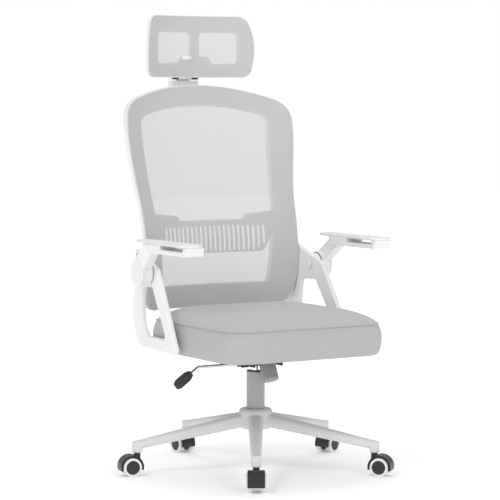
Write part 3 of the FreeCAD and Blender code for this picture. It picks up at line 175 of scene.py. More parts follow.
# %% Helper for finishes
def finish(name, colour, roughness, metallic=0.0, **sockets):
    """Material with a Principled BSDF; gives the material, its tree, shader and coordinates."""
    material = bpy.data.materials.new(name)
    material.use_nodes = True
    tree = material.node_tree
    shader = tree.nodes["Principled BSDF"]
    shader.inputs["Base Color"].default_value = (*colour, 1)
    shader.inputs["Roughness"].default_value = roughness
    shader.inputs["Metallic"].default_value = metallic
    for label, value in sockets.items():
        shader.inputs[label.replace("_", " ")].default_value = value
    place = tree.nodes.new("ShaderNodeTexCoord").outputs["Object"]
    return material, tree, shader, place


def use_effect(tree, group, place, **values):
    """Place a shared effect in a material, with the material's own values."""
    node = tree.nodes.new("ShaderNodeGroup")
    node.node_tree = group
    tree.links.new(place, node.inputs["Vector"])
    for label, value in values.items():
        node.inputs[label].default_value = value
    return node


def drift(tree, shader, tone, colour, spread):
    """Colour that wanders a little darker and lighter with a tone."""
    ramp = tree.nodes.new("ShaderNodeValToRGB")
    low, high = ramp.color_ramp.elements
    low.position, high.position = 0.3, 0.7
    low.color = (*(channel * (1 - spread) for channel in colour), 1)
    high.color = (*(min(1, channel * (1 + spread)) for channel in colour), 1)
    tree.links.new(tone, ramp.inputs["Fac"])
    tree.links.new(ramp.outputs["Color"], shader.inputs["Base Color"])


def rough_by(tree, shader, value, low, high):
    """Roughness that runs between two limits with a value."""
    spread = tree.nodes.new("ShaderNodeMapRange")
    spread.inputs["To Min"].default_value, spread.inputs["To Max"].default_value = low, high
    tree.links.new(value, spread.inputs["Value"])
    tree.links.new(spread.outputs["Result"], shader.inputs["Roughness"])


def emboss(tree, shader, height, depth, strength):
    """Bump of a depth in metres from a height."""
    bump = tree.nodes.new("ShaderNodeBump")
    bump.inputs["Distance"].default_value, bump.inputs["Strength"].default_value = depth, strength
    tree.links.new(height, bump.inputs["Height"])
    tree.links.new(bump.outputs["Normal"], shader.inputs["Normal"])


# %% [markdown]
# Plastics and painted parts share the mould grain. Satin white plastic makes most of the chair,
# the arm pads are a little softer, the base is nylon, and the hoods of the casters are dark nylon.

# %% Plastics and painted parts
GRAIN_STRENGTH, SMOOTHER, ROUGHER = 0.35, 0.05, 0.07


def plastic(name, colour, roughness, grain_scale=900.0, depth=0.00012, spread=0.03):
    """Plastic or paint with the grain of its mould."""
    material, tree, shader, place = finish(name, colour, roughness)
    node = use_effect(tree, grain, place, Scale=grain_scale)
    drift(tree, shader, node.outputs["Tone"], colour, spread)
    rough_by(tree, shader, node.outputs["Height"], roughness - SMOOTHER, roughness + ROUGHER)
    emboss(tree, shader, node.outputs["Height"], depth, GRAIN_STRENGTH)
    return material


finishes = {
    "white_plastic": plastic("satin_white_plastic", (0.84, 0.84, 0.845), 0.36),
    "pad_white": plastic("soft_white_pad", (0.80, 0.80, 0.80), 0.5, 1400.0),
    "base_plastic": plastic("base_nylon", (0.73, 0.73, 0.725), 0.30, 700.0),
    "tube_grey": plastic("tube_paint", (0.49, 0.49, 0.49), 0.33, 1500.0, 0.00005),
    "dark_plastic": plastic("dark_nylon", (0.021, 0.021, 0.022), 0.36, 800.0, spread=0.12),
    "knob_grey": plastic("knob_plastic", (0.40, 0.40, 0.395), 0.45),
    "mech_black": plastic("black_powder_paint", (0.02, 0.02, 0.021), 0.5, 1200.0, 0.0002),
}
print("plastics", sorted(finishes))

# %% [markdown]
# The gas lift's cylinder and the lever's rod are chromed, and bolts and pins are bright steel. Metal
# takes its look from what it mirrors, so only a slow drift of colour and polish is added.

# %% Metals
METAL_GRAIN, POLISHED, WORN = 1800.0, 0.7, 1.4


def metal(name, colour, roughness, spread):
    """Bare metal with a slow drift of colour and polish."""
    material, tree, shader, place = finish(name, colour, roughness, 1.0)
    node = use_effect(tree, grain, place, Scale=METAL_GRAIN)
    drift(tree, shader, node.outputs["Tone"], colour, spread)
    rough_by(tree, shader, node.outputs["Tone"], roughness * POLISHED, roughness * WORN)
    return material


finishes["chrome"] = metal("polished_chrome", (0.78, 0.78, 0.79), 0.09, 0.02)
finishes["steel"] = metal("bright_steel", (0.56, 0.56, 0.57), 0.28, 0.06)
print("metals", [finishes[name].name for name in ("chrome", "steel")])

# %% [markdown]
# The board under the seat is plain plywood, seen only from below, so a coarse grain is enough.

# %% Plywood
ply_colour = (0.20, 0.17, 0.14)
ply, tree, shader, place = finish("plain_plywood", ply_colour, 0.62)
node = use_effect(tree, grain, place, Scale=240.0)
drift(tree, shader, node.outputs["Height"], ply_colour, 0.22)
emboss(tree, shader, node.outputs["Height"], 0.0003, 0.4)
finishes["plywood"] = ply
print("wood", ply.name)

# %% [markdown]
# The seat cover and the bands along the mesh are cloth. Cloth is matt and a little bright at its
# edges, from the fine hairs of the yarn, and the sheen of the shader gives that.


# %% Woven cover
def woven(name, colour, pitch, depth):
    """Cloth with a weave of a pitch and a depth in metres."""
    material, tree, shader, place = finish(name, colour, 0.88, Sheen_Weight=0.25, Sheen_Roughness=0.5)
    node = use_effect(tree, weave, place, Pitch=pitch)
    drift(tree, shader, node.outputs["Tone"], colour, 0.06)
    emboss(tree, shader, node.outputs["Height"], depth, 0.8)
    return material


finishes["seat_fabric"] = woven("seat_cover_weave", (0.472, 0.468, 0.459), 0.0022, 0.0003)
band = woven("edge_band_weave", (0.66, 0.66, 0.655), 0.0014, 0.00015)
print("woven", finishes["seat_fabric"].name, band.name)

# %% [markdown]
# The open mesh uses the knitted mask for its alpha. Its yarn is paler than the seat's, and its
# holes are wide enough that the frame behind it can be made out.

# %% Open mesh
mesh_colour = (0.605, 0.60, 0.595)
mesh_cloth, tree, shader, place = finish("open_knit_mesh", mesh_colour, 0.8, Sheen_Weight=0.15)
node = use_effect(tree, knit, place, Pitch=0.0034, Opening=0.62)
tone = use_effect(tree, grain, place, Scale=500.0)
drift(tree, shader, tone.outputs["Height"], mesh_colour, 0.05)
tree.links.new(node.outputs["Cover"], shader.inputs["Alpha"])
emboss(tree, shader, node.outputs["Height"], 0.0004, 0.6)
finishes["mesh_fabric"] = mesh_cloth
print("mesh", mesh_cloth.name)

# %% [markdown]
# Solids whose shape is right stay, and only take a finish. The heads of the arm pivot bolts are
# covered by caps of the bracket's own white.

# %% Dress the solids that stay
capped = {"arm_pivot_bolts": "white_plastic"}
for node_name, item in nodes.items():
    finish_name = capped.get(node_name, slot_of[node_name])
    for spot in item.material_slots:
        spot.material = finishes.get(finish_name, finishes["dark_plastic"])
print("dressed", len(nodes))

# %% [markdown]
# ## Moulded pieces
# On an injection-moulded chair no edge is sharp: edges are rounded and legs run into the hub in
# soft fillets. A voxel remesh followed by smoothing melts the corners of the solid in the
# same way over the whole piece, including places where fillets in CAD would fail.


# %% Helper for finished meshes
def put(name, mesh, material, body):
    """New object with a mesh in the chair's own frame, riding on a body."""
    obj = bpy.data.objects.new(name, mesh)
    scene.collection.objects.link(obj)
    mesh.materials.clear()
    mesh.materials.append(material)
    for face in mesh.polygons:
        face.use_smooth = True
    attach(obj, body)
    return obj


def settled(obj):
    """The mesh of an object with its modifiers applied."""
    bpy.context.view_layer.update()
    ready = obj.evaluated_get(bpy.context.evaluated_depsgraph_get())
    return bpy.data.meshes.new_from_object(ready)


def closed_copy(node):
    """Copy of a solid's mesh with the split edges joined again."""
    mesh = nodes[node].data.copy()
    work = bmesh.new()
    work.from_mesh(mesh)
    bmesh.ops.remove_doubles(work, verts=work.verts, dist=1e-6)
    work.to_mesh(mesh)
    work.free()
    return mesh


def moulded(node, voxel, passes, keep, cutters=()):
    """Replace a solid by its rounded, smoothed form."""
    obj = bpy.data.objects.new("blank_" + node, closed_copy(node))
    scene.collection.objects.link(obj)
    for cutter in cutters:
        hollow = obj.modifiers.new("hollow", "BOOLEAN")
        hollow.operation, hollow.object, hollow.solver = "DIFFERENCE", cutter, "EXACT"
    remesh = obj.modifiers.new("remesh", "REMESH")
    remesh.mode, remesh.voxel_size = "VOXEL", voxel
    soften = obj.modifiers.new("soften", "SMOOTH")
    soften.factor, soften.iterations = 0.5, passes
    thin = obj.modifiers.new("thin", "DECIMATE")
    thin.ratio = keep
    mesh = settled(obj)
    bpy.data.objects.remove(obj)
    piece = put("moulded_" + node, mesh, finishes[slot_of[node]], home[node])
    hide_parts(node)
    return piece


def tube(name, points, radius, material, body, steps=10, cyclic=True):
    """Round bead along a line of points."""
    curve = bpy.data.curves.new(name, "CURVE")
    curve.dimensions, curve.bevel_depth, curve.bevel_resolution = "3D", radius, steps // 4
    spline = curve.splines.new("POLY")
    spline.points.add(len(points) - 1)
    for spot, point in zip(spline.points, points):
        spot.co = (*point, 1)
    spline.use_cyclic_u, curve.use_fill_caps = cyclic, not cyclic
    holder = bpy.data.objects.new(name + "_line", curve)
    scene.collection.objects.link(holder)
    mesh = settled(holder)
    bpy.data.objects.remove(holder)
    return put(name, mesh, material, body)


# %% [markdown]
# Each armrest has a long recess in its neck, and each bracket a small notch. Such hollows are cut
# with rounded bars before the solid is remeshed, so that their edges soften too.

# %% Recess in each armrest neck
GROOVE_ENDS, GROOVE_RADIUS = ((0.2755, 0.094, 0.578), (0.2795, 0.058, 0.597)), 0.0062
NOTCH_ENDS, NOTCH_RADIUS = ((0.2590, 0.194, 0.484), (0.2590, 0.194, 0.493)), 0.0022


def capsule(name, first, last, radius):
    """Rounded bar used as a cutter."""
    mesh = bpy.data.meshes.new(name)
    work = bmesh.new()
    for spot in (first, last):
        bmesh.ops.create_uvsphere(work, u_segments=24, v_segments=12, radius=radius,
                                  matrix=Matrix.Translation(spot))
    bmesh.ops.convex_hull(work, input=work.verts)
    work.to_mesh(mesh)
    work.free()
    obj = bpy.data.objects.new(name, mesh)
    scene.collection.objects.link(obj)
    return obj


grooves, notches = {}, {}
for side, sign in SIDES:
    for cutters, name, ends, radius in ((grooves, "groove_", GROOVE_ENDS, GROOVE_RADIUS),
                                        (notches, "notch_", NOTCH_ENDS, NOTCH_RADIUS)):
        run = [Vector((sign * x, y, z)) for x, y, z in ends]
        cutters[side] = [capsule(name + side, *run, radius)]
print("grooves", list(grooves), "notches", list(notches))

# %% [markdown]
# The list gives each piece's voxel size, smoothing passes and the share of faces kept. Small pieces
# take small voxels, and more passes make a rounder piece.

# %% Mould the white parts
moulds = [("base_star", 0.002, 8, 0.35), ("back_frame", 0.0022, 6, 0.35),
          ("headrest_frame", 0.0018, 5, 0.4), ("headrest_bracket", 0.0012, 5, 0.4),
          ("post_guide", 0.0013, 5, 0.4), ("lever_paddle", 0.001, 8, 0.5),
          ("lumbar_panel", 0.0011, 2, 0.4)]
for side in ("left", "right"):
    moulds += [("arm_pad_" + side, 0.0012, 6, 0.35), ("pivot_cap_" + side, 0.0009, 5, 0.4)]
for number in CASTERS:
    moulds.append(("caster_%d_hood" % number, 0.0009, 14, 0.4))
for name, voxel, passes, keep in moulds:
    piece = moulded(name, voxel, passes, keep)
    print(piece.name, len(piece.data.polygons))
for side in ("left", "right"):
    for name, voxel, passes, cutters in (("armrest_frame_", 0.0013, 9, grooves[side]),
                                         ("arm_bracket_", 0.0014, 8, notches[side])):
        piece = moulded(name + side, voxel, passes, 0.35, cutters)
        print(piece.name, len(piece.data.polygons))
        for cutter in cutters:
            bpy.data.objects.remove(cutter)

# %% [markdown]
# ## Tension knob
# The knob under the seat is gripped from below, so its wall has broad flutes. Each ring of points
# round the axis dips in at every flute, and the rings run from the middle of the closed end, up
# the wall and down into the cup that takes the spring.

# %% Fluted knob
FLUTES, FLUTE_STEPS = 16, 12
KNOB = [(0.0, -24.5, 0), (14.0, -24.5, 0), (18.4, -24.4, 0.2), (20.3, -23.7, 0.8),
        (21.4, -22.4, 1.4), (22.0, -20.0, 2.0), (22.0, 20.0, 2.0), (21.4, 22.6, 1.4),
        (20.0, 24.1, 0.4), (18.0, 24.5, 0), (16.0, 24.5, 0), (16.0, -9.5, 0), (4.4, -9.5, 0)]
MM = 0.001
work = bmesh.new()
rings = []
for radius, height, dip in KNOB:
    ring = []
    for step in range(FLUTES * FLUTE_STEPS):
        angle = FULL_TURN * step / (FLUTES * FLUTE_STEPS)
        reach = (radius - dip * max(0, math.cos(FLUTES * angle)) ** 1.5) * MM
        ring.append(work.verts.new((reach * math.cos(angle), reach * math.sin(angle), height * MM)))
    rings.append(ring)
for first, second in zip(rings, rings[1:]):
    for step, vertex in enumerate(first):
        after = (step + 1) % len(first)
        work.faces.new((vertex, first[after], second[after], second[step]))
bmesh.ops.remove_doubles(work, verts=work.verts, dist=1e-6)
bmesh.ops.recalc_face_normals(work, faces=work.faces)
lean = Vector(joints["tension_turn"]["axis"]).to_track_quat("Z", "Y").to_matrix().to_4x4()
work.transform(Matrix.Translation(joints["tension_turn"]["pos_m"]) @ lean)
mesh = bpy.data.meshes.new("fluted_knob")
work.to_mesh(mesh)
work.free()
knob = put("fluted_knob", mesh, finishes["knob_grey"], "knob")
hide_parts("tension_knob")
print("knob", len(mesh.polygons), "faces")

# %% [markdown]
# ## Tension spring
# A compression spring stands between the knob and a tongue of the mechanism. When the seat leans
# back the knob rises and squeezes it. It is a wire on a helix with closed end coils. It stays round
# the bolt, which leans with the seat, and here it rides on the seat as one stiff piece.

# %% Coil round the bolt
COIL_RADIUS, WIRE_RADIUS, COILS, COIL_STEPS = 0.0114, 0.0016, 7, 24
END_GAP = 0.0002
hub, upward = Vector(joints["tension_turn"]["pos_m"]), Vector(joints["tension_turn"]["axis"])
along = [(vertex.co - hub).dot(upward) for vertex in nodes["tension_spring"].data.vertices]
coil_low, coil_high = min(along) + WIRE_RADIUS, max(along) - WIRE_RADIUS
closed = 2 * WIRE_RADIUS + END_GAP
open_rise = (coil_high - coil_low - 2 * closed) / (COILS - 2)
coil = []
for step in range(COILS * COIL_STEPS + 1):
    turn = step / COIL_STEPS
    closed_turns = min(turn, 1) + max(turn - COILS + 1, 0)
    open_turns = min(max(turn - 1, 0), COILS - 2)
    spot = Vector((COIL_RADIUS * math.cos(FULL_TURN * turn), COIL_RADIUS * math.sin(FULL_TURN * turn),
                   coil_low + (closed * closed_turns + open_rise * open_turns)))
    coil.append(Matrix.Translation(hub) @ lean @ spot)
spring = tube("coil_spring", coil, WIRE_RADIUS, finishes["steel"], "seat", 16, False)
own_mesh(spring)
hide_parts("tension_spring")
print("spring", round(coil_high - coil_low, 4), "m long")

# %% [markdown]
# ## Shade rings of the armrests
# A thin dark ring stands for the shadow in the gap where each armrest turns on its bracket: this is
# painted shade. It is a plain ring, so a round bead swept about the pivot gives it.

# %% Painted shade rings
PIVOT_Y, PIVOT_Z, SHADE_RING_X, SHADE_RING_RADIUS = 0.118, 0.541, 0.2703, 0.0333
SHADE_RING_BEAD, SHADE_RING_STEPS = 0.0011, 96
angles = [FULL_TURN * step / SHADE_RING_STEPS for step in range(SHADE_RING_STEPS)]
for side, sign in SIDES:
    circle = [Vector((sign * SHADE_RING_X, PIVOT_Y + SHADE_RING_RADIUS * math.cos(angle),
                      PIVOT_Z + SHADE_RING_RADIUS * math.sin(angle))) for angle in angles]
    # Dark bead that paints the shadow of the gap between armrest and bracket.
    tube("pivot_shade_ring_" + side, circle, SHADE_RING_BEAD, finishes["dark_plastic"], "seat")
print("shade_rings", len(SIDES))

# %% [markdown]
# ## Caster wheels
# Each wheel is a white tyre ring round a dark side disc. A wheel is a turned part, so both
# profiles are spun round the axle. The profile gives radius and distance out along the axle.

# %% Turn the wheels
TYRE = [(18.7, 0.8), (22.6, 0.2), (24.3, 0.7), (25.0, 2.4), (25.0, 13.4), (24.4, 15.2),
        (22.8, 16.0), (19.6, 16.0), (18.7, 15.5)]
DISC = [(4.3, 0.8), (18.7, 0.8), (18.7, 14.6), (18.2, 14.9), (17.4, 14.9), (16.9, 14.3),
        (15.6, 13.9), (8.0, 15.2), (0.0, 15.5)]
SPIN_STEPS = 72


def spun(work, profile, slot_number, closed):
    """Faces from a profile in millimetres turned round the local Z axis."""
    rings = []
    angles = [FULL_TURN * step / SPIN_STEPS for step in range(SPIN_STEPS)]
    for radius, out in profile:
        if radius == 0:
            rings.append([work.verts.new((0, 0, out * MM))] * SPIN_STEPS)
            continue
        rings.append([work.verts.new((radius * MM * math.cos(angle), radius * MM * math.sin(angle),
                                      out * MM)) for angle in angles])
    pairs = list(zip(rings, rings[1:])) + ([(rings[-1], rings[0])] if closed else [])
    for first, second in pairs:
        for step in range(SPIN_STEPS):
            after = (step + 1) % SPIN_STEPS
            corners = [first[step], first[after], second[after], second[step]]
            face = work.faces.new(list(dict.fromkeys(corners)))
            face.material_index = slot_number


WHEEL_SPACING = 0.021
for number in CASTERS:
    for side, sign in (("a", 1), ("b", -1)):
        node = "caster_%d_wheel_%s" % (number, side)
        joint = joints["caster_%d_roll_%s" % (number, side)]
        axis = Vector(joint["axis"]) * sign
        turn = axis.to_track_quat("Z", "Y").to_matrix().to_4x4()
        spot = Matrix.Translation(Vector(joint["pos_m"]) + axis * WHEEL_SPACING / 2)
        mesh = bpy.data.meshes.new(node)
        work = bmesh.new()
        spun(work, TYRE, 0, True)
        spun(work, DISC, 1, False)
        bmesh.ops.recalc_face_normals(work, faces=work.faces)
        work.transform(spot @ turn)
        work.to_mesh(mesh)
        work.free()
        kinds = [face.material_index for face in mesh.polygons]
        piece = put("wheel_%d_%s" % (number, side), mesh, finishes["white_plastic"], home[node])
        mesh.materials.append(finishes["dark_plastic"])
        for face, kind in zip(mesh.polygons, kinds):
            face.material_index = kind
        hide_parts(node)
print("wheels", 2 * len(CASTERS))

# %% [markdown]
# ## Seat cushion
# Foam on a board, with a woven cover that is cut as a top panel and a side band and sewn round
# the edge. The form is lofted from rounded rectangles, and a short cloth run with air pressure
# then swells the cover between the seam and the tucked lower edge, where it is held.

# %% Seat form
SEAT_HALF, SEAT_FRONT, SEAT_REAR, SEAT_CORNER = 0.250, 0.292, 0.180, 0.064
SKIRT_Z, SEAM_Z, CROWN_Z, BOARD_TOP = 0.325, 0.409, 0.444, 0.3506
RING_STEPS = 160


def seat_ring(inset, corner):
    """Points round a rounded rectangle, evenly spaced along its edge."""
    half, front, rear = SEAT_HALF - inset, SEAT_FRONT - inset, SEAT_REAR - inset
    radius = min(corner, half, (front + rear) / 2)
    wide, deep, arc = 2 * (half - radius), front + rear - 2 * radius, math.pi / 2 * radius
    total, points = 2 * (wide + deep) + 4 * arc, []
    runs = [((half - radius, -front), (-1, 0), wide, (-half + radius, -front + radius), -math.pi / 2),
            ((-half, -front + radius), (0, 1), deep, (-half + radius, rear - radius), math.pi),
            ((-half + radius, rear), (1, 0), wide, (half - radius, rear - radius), math.pi / 2),
            ((half, rear - radius), (0, -1), deep, (half - radius, -front + radius), 0)]
    for step in range(RING_STEPS):
        travel = total * step / RING_STEPS
        for (x, y), (dx, dy), length, (cx, cy), angle in runs:
            if travel < length:
                points.append((x + dx * travel, y + dy * travel))
                break
            travel -= length
            if travel < arc:
                turn = angle - travel / radius
                points.append((cx + radius * math.cos(turn), cy + radius * math.sin(turn)))
                break
            travel -= arc
    return points


START_INSET, CROWN_INSET, CROWN_REACH = 0.0025, 0.0098, 0.110
profile = [(BOARD_TOP, inset, "held") for inset in (0.225, 0.150, 0.070, 0.0145)]
profile += [(SKIRT_Z + rise, inset, "held") for rise, inset in (
    (0.004, 0.0143), (0, 0.0150), (0.002, 0.0112), (0.008, 0.0068))]
profile += [(SKIRT_Z + rise, inset, "free") for rise, inset in (
    (0.016, 0.0036), (0.026, 0.0016), (0.038, 0.0003), (0.050, 0.0001), (0.061, 0.0010),
    (0.070, 0.0030), (0.077, 0.0056))]
profile += [(SEAM_Z - 0.003, 0.0072, "free"), (SEAM_Z, 0.0102, "seam"), (SEAM_Z + 0.003, 0.0104, "free")]
crown = [(share, CROWN_INSET + CROWN_REACH * (1 - math.sqrt(1 - share ** 2)))
         for share in (0.20, 0.34, 0.48, 0.61, 0.72, 0.81, 0.88, 0.93, 0.965, 0.99)]
crown += [(0.998, 0.135), (1.003, 0.160), (1.006, 0.185), (1.008, 0.207), (1.009, 0.225)]
profile += [(SEAM_Z + (CROWN_Z - SEAM_Z) * share, inset, "free") for share, inset in crown]
print("seat profile", len(profile), "rings")

# %% [markdown]
# Rings of points at those heights are joined into one closed skin. Its corners tighten towards the
# middle, and the rings that the board or the seam hold are noted for the cloth run.

# %% Seat skin
LEAST_CORNER, CORNER_FROM, CORNER_LOSS = 0.004, 0.02, 0.55
work = bmesh.new()
rings, held, seam = [], [], []
for z, inset, kind in profile:
    swell = 0 if kind in ("held", "seam") else START_INSET
    corner = max(LEAST_CORNER, SEAT_CORNER - max(0, inset - CORNER_FROM) * CORNER_LOSS)
    ring = [work.verts.new((x, y, z)) for x, y in seat_ring(inset + swell, corner)]
    rings.append(ring)
    places = range((len(rings) - 1) * RING_STEPS, len(rings) * RING_STEPS)
    if kind == "held":
        held += places
    if kind == "seam":
        seam += places
for first, second in zip(rings, rings[1:]):
    for step in range(RING_STEPS):
        after = (step + 1) % RING_STEPS
        work.faces.new((first[step], first[after], second[after], second[step]))
for ring in (rings[0], rings[-1]):
    middle = work.verts.new(sum((vertex.co for vertex in ring), Vector()) / RING_STEPS)
    for step in range(RING_STEPS):
        work.faces.new((ring[step], ring[(step + 1) % RING_STEPS], middle))
bmesh.ops.recalc_face_normals(work, faces=work.faces)
cushion_mesh = bpy.data.meshes.new("seat_cover")
work.to_mesh(cushion_mesh)
work.free()
print("seat form", len(cushion_mesh.vertices), "points")

# %% [markdown]
# Air pressure pushes the cover out while its lower edge stays held and its seam almost so. A few
# frames are enough, and each point's way is capped, so the seat keeps its size.

# %% Swell the seat cover
PRESSURE, RUN_FRAMES, MOST_SWELL, SEAM_HOLD = 4.0, 12, 0.004, 0.9


def swollen(mesh, held, part_held, pressure, frames, cap):
    """Run cloth with pressure on a closed cover and give the moved points, capped."""
    obj = bpy.data.objects.new("cover_run", mesh.copy())
    scene.collection.objects.link(obj)
    pins = obj.vertex_groups.new(name="pins")
    pins.add(held, 1.0, "REPLACE")
    pins.add(part_held, SEAM_HOLD, "REPLACE")
    cloth = obj.modifiers.new("cover", "CLOTH")
    settings = cloth.settings
    settings.use_pressure, settings.uniform_pressure_force = True, pressure
    settings.vertex_group_mass = "pins"
    settings.effector_weights.gravity = 0
    settings.tension_stiffness = settings.compression_stiffness = 40
    settings.bending_stiffness, settings.quality, settings.mass = 4, 5, 0.3
    cloth.point_cache.frame_start, cloth.point_cache.frame_end = 1, frames
    for number in range(1, frames + 1):
        scene.frame_set(number)
    ready = obj.evaluated_get(bpy.context.evaluated_depsgraph_get())
    moved = []
    for before, after in zip(mesh.vertices, ready.data.vertices):
        step = after.co - before.co
        if step.length > cap:
            step *= cap / step.length
        moved.append(before.co + step)
    scene.frame_set(1)
    bpy.data.objects.remove(obj)
    return moved


spots = swollen(cushion_mesh, held, seam, PRESSURE, RUN_FRAMES, MOST_SWELL)
for vertex, spot in zip(cushion_mesh.vertices, spots):
    vertex.co = spot
seam_line = [cushion_mesh.vertices[index].co.copy() for index in seam]
cushion = put("seat_cushion_cover", cushion_mesh, finishes["seat_fabric"], "seat")
smooth = cushion.modifiers.new("smooth", "SUBSURF")
smooth.levels = smooth.render_levels = 1
cushion.data = settled(cushion)
cushion.modifiers.clear()
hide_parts("seat_cushion")
print("cushion", len(cushion.data.polygons), "faces")

# %% [markdown]
# The seam between top and side is finished with a thin welt, a strip of the cover sewn over a round
# core. A tube along the held seam line gives it its own shadow, and its cloth is made darker than the
# cover's, as painted shade along the seam.

# %% Seat welt
# Welt cloth darker than the seat cover: painted shade of the seam line.
welt_shade_cloth = woven("welt_weave", (0.40, 0.395, 0.39), 0.0011, 0.00012)
WELT_RADIUS, WELT_OUT, SEAT_MIDDLE_Y = 0.0010, 0.0012, -0.056
welt_line = [point + (point - Vector((0, SEAT_MIDDLE_Y, point.z))).normalized() * WELT_OUT
             for point in seam_line]
tube("seat_welt", welt_line, WELT_RADIUS, welt_shade_cloth, "seat")
print("welt", len(welt_line), "points")

# %% [markdown]
# ## Mesh sheets of back and headrest
# The mesh is stretched over the front of each frame. Its sheet is the front face of the thin
# solid that stands for it, so it has the same double curve. A narrow band closes its edge.

# %% Stretch the mesh
FACING_FRONT, BAND_RADIUS = -0.35, 0.0016


def rim_of(work):
    """Points round the longest open edge of a sheet, in order."""
    open_edges = [edge for edge in work.edges if len(edge.link_faces) == 1]
    links = {}
    for edge in open_edges:
        for one, other in (edge.verts, reversed(edge.verts)):
            links.setdefault(one, []).append(other)
    best, seen = [], set()
    for first in links:
        if first in seen:
            continue
        line, here, before = [], first, None
        while here is not None and here not in seen:
            seen.add(here)
            line.append(here.co.copy())
            onward = [other for other in links[here] if other is not before and other not in seen]
            before, here = here, (onward[0] if onward else None)
        if len(line) > len(best):
            best = line
    return best


def stretched(node, name, body):
    """Front face of a thin solid as a sheet, with a band round its edge."""
    mesh = closed_copy(node)
    work = bmesh.new()
    work.from_mesh(mesh)
    work.normal_update()
    hidden = [face for face in work.faces if face.normal.y > FACING_FRONT]
    bmesh.ops.delete(work, geom=hidden, context="FACES")
    area = sum(face.calc_area() for face in work.faces)
    rim = rim_of(work)
    work.to_mesh(mesh)
    work.free()
    sheet = put(name, mesh, mesh_cloth, body)
    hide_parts(node)
    edge = tube(name + "_edge", rim, BAND_RADIUS, band, body)
    return sheet, area


back_area = stretched("back_mesh", "back_sheet", "seat")[1]
head_sheet, head_area = stretched("headrest_mesh", "headrest_sheet", "headrest")
print("sheets", round(back_area, 4), round(head_area, 4))

# %% [markdown]
# A small plain tab is sewn to the headrest's mesh, a little to one side of the middle bar. It is a
# flat rounded plate, set on the mesh where the sheet stands at that height.

# %% Headrest tab
TAB_X, TAB_Z, TAB_WIDE, TAB_TALL, TAB_THICK = -0.0265, 1.1215, 0.033, 0.012, 0.0024
EDGE_ROUNDING, EDGE_STEPS = 0.36, 3
near = min(head_sheet.data.vertices,
           key=lambda vertex: (vertex.co.x - TAB_X) ** 2 + (vertex.co.z - TAB_Z) ** 2)


def plate(name, middle, size):
    """Flat plate with rounded edges."""
    work = bmesh.new()
    bmesh.ops.create_cube(work, size=1, matrix=Matrix.Translation(middle) @ Matrix.Diagonal((*size, 1)))
    bmesh.ops.bevel(work, geom=work.edges, offset=min(size) * EDGE_ROUNDING, segments=EDGE_STEPS,
                    affect="EDGES")
    mesh = bpy.data.meshes.new(name)
    work.to_mesh(mesh)
    work.free()
    return mesh


tab = plate("headrest_tab", (TAB_X, near.co.y - TAB_THICK / 2, TAB_Z), (TAB_WIDE, TAB_THICK, TAB_TALL))
put("headrest_tab", tab, finishes["white_plastic"], "headrest")
print("tab at", tuple(round(value, 4) for value in near.co))

# %% [markdown]
# Two dark flat rounded plates on the front face of the headrest's bracket, just above the guide, stand
# for the shadow gaps between the bracket and the guide: painted shade. They ride up with the bracket.

# %% Painted shade plates on the bracket
SHADE_PLATE_X, SHADE_PLATE_WIDE, SHADE_PLATE_TALL, SHADE_PLATE_THICK = 0.0315, 0.021, 0.0065, 0.0020
SHADE_PLATE_FORWARD, SHADE_PLATE_LIFT, SHADE_PLATE_SUNK = 0.004, 0.0004, 0.0006
front_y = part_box("headrest_post")[0][1] - SHADE_PLATE_FORWARD
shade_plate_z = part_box("headrest_bracket")[0][2] + SHADE_PLATE_TALL / 2 + SHADE_PLATE_LIFT
for side, sign in SIDES:
    shade_plate = plate("bracket_shade_plate_" + side, (sign * SHADE_PLATE_X, front_y - SHADE_PLATE_THICK / 2 + SHADE_PLATE_SUNK, shade_plate_z),
                 (SHADE_PLATE_WIDE, SHADE_PLATE_THICK, SHADE_PLATE_TALL))
    # Dark plates that paint the shadow gaps above the guide.
    put("bracket_shade_plate_" + side, shade_plate, finishes["dark_plastic"], "headrest_carrier")
print("shade_plates at", round(front_y, 4), round(shade_plate_z, 4))

# %% [markdown]
# ## Room, light and camera
# A pale sheet lies under the chair. Away from the chair it glows a little, as one lit from below
# does, and the surround is white to the eye, so no horizon shows from any side.

# %% Floor
FLOOR_HALF = 14.0
work = bmesh.new()
bmesh.ops.create_grid(work, x_segments=1, y_segments=1, size=FLOOR_HALF)
mesh = bpy.data.meshes.new("studio_floor")
work.to_mesh(mesh)
work.free()
floor = bpy.data.objects.new("studio_floor", mesh)
scene.collection.objects.link(floor)
paper, tree, shader, place = finish("pale_paper", (0.97, 0.97, 0.97), 0.9)
GLOW_FROM, GLOW_FULL, GLOW_NEAR, GLOW_FAR = 0.3, 3.0, 0.20, 0.55
reach = tree.nodes.new("ShaderNodeVectorMath")
reach.operation = "LENGTH"
tree.links.new(place, reach.inputs[0])
fade = tree.nodes.new("ShaderNodeMapRange")
fade.interpolation_type = "SMOOTHSTEP"
for name, value in (("From Min", GLOW_FROM), ("From Max", GLOW_FULL), ("To Min", GLOW_NEAR),
                    ("To Max", GLOW_FAR)):
    fade.inputs[name].default_value = value
tree.links.new(reach.outputs["Value"], fade.inputs["Value"])
tree.links.new(fade.outputs["Result"], shader.inputs["Emission Color"])
shader.inputs["Emission Strength"].default_value = 1.0
mesh.materials.append(paper)
print("floor", len(mesh.polygons), "faces")

# %% [markdown]
# Three large soft lamps model the form: one from the camera's side, one from the front and one from
# above. Large lamps are used because their shadows have soft edges.


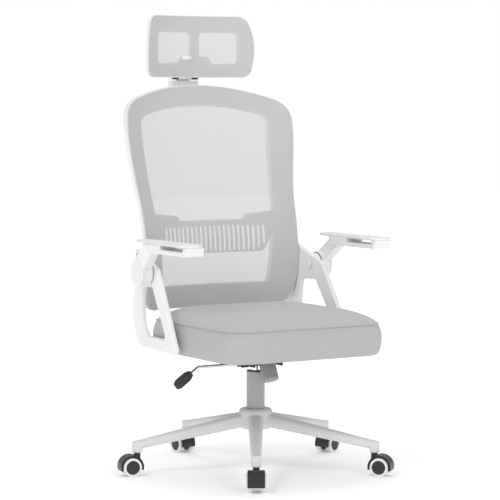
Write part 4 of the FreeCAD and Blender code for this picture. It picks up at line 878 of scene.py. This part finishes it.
# %% Lamps
def lamp(name, spot, aim, size, watts):
    """Round soft lamp that faces a point."""
    data = bpy.data.lights.new(name, "AREA")
    data.shape, data.size, data.energy = "DISK", size, watts
    obj = bpy.data.objects.new(name, data)
    scene.collection.objects.link(obj)
    obj.location = spot
    obj.rotation_euler = (Vector(aim) - Vector(spot)).to_track_quat("-Z", "Y").to_euler()


LAMPS = (("key", (-3.6, -1.6, 3.8), (0, 0, 0.6), 1.8, 54),
         ("fill", (0.2, -4.9, 3.0), (0, 0, 0.6), 2.4, 56),
         ("top", (0.6, 0.9, 4.2), (0, 0, 0.5), 2.4, 38))
for settings in LAMPS:
    lamp(*settings)
print("lamps", len(LAMPS))

# %% [markdown]
# A bright surround gives the even light of a catalogue photograph. It lights the chair less strongly
# than it shows to the eye, so the surround is white and the chair keeps its greys.

# %% Surround
SURROUND_LIGHT, SURROUND_SEEN = 0.57, 1.0
world = bpy.data.worlds.new("surround")
world.use_nodes = True
room = world.node_tree
glow, seen = room.nodes["Background"], room.nodes.new("ShaderNodeBackground")
choose, rays = room.nodes.new("ShaderNodeMixShader"), room.nodes.new("ShaderNodeLightPath")
room.links.new(rays.outputs["Is Camera Ray"], choose.inputs["Fac"])
for index, (light, strength) in enumerate(((glow, SURROUND_LIGHT), (seen, SURROUND_SEEN)), start=1):
    light.inputs["Color"].default_value = (1, 1, 1, 1)
    light.inputs["Strength"].default_value = strength
    room.links.new(light.outputs["Background"], choose.inputs[index])
room.links.new(choose.outputs["Shader"], room.nodes["World Output"].inputs["Surface"])
scene.world = world
scene.view_settings.view_transform = "Standard"
print("surround", SURROUND_LIGHT)

# %% [markdown]
# The camera stands to the chair's front right and a little above its middle, with a long lens that
# keeps upright lines almost parallel.

# %% Camera
camera = bpy.data.objects.new("camera", bpy.data.cameras.new("camera"))
scene.collection.objects.link(camera)
HEADING, DIP, FAR_LIMIT = math.radians(31.12), 4.07, 60
camera.data.sensor_width, camera.data.lens = 36.0, 155.0
camera.location = (-3.020, -4.9728, 1.012)
camera.rotation_euler = (math.radians(90 - DIP), 0, -HEADING)
camera.data.clip_end = FAR_LIMIT
scene.camera = camera
print("camera", tuple(camera.location))
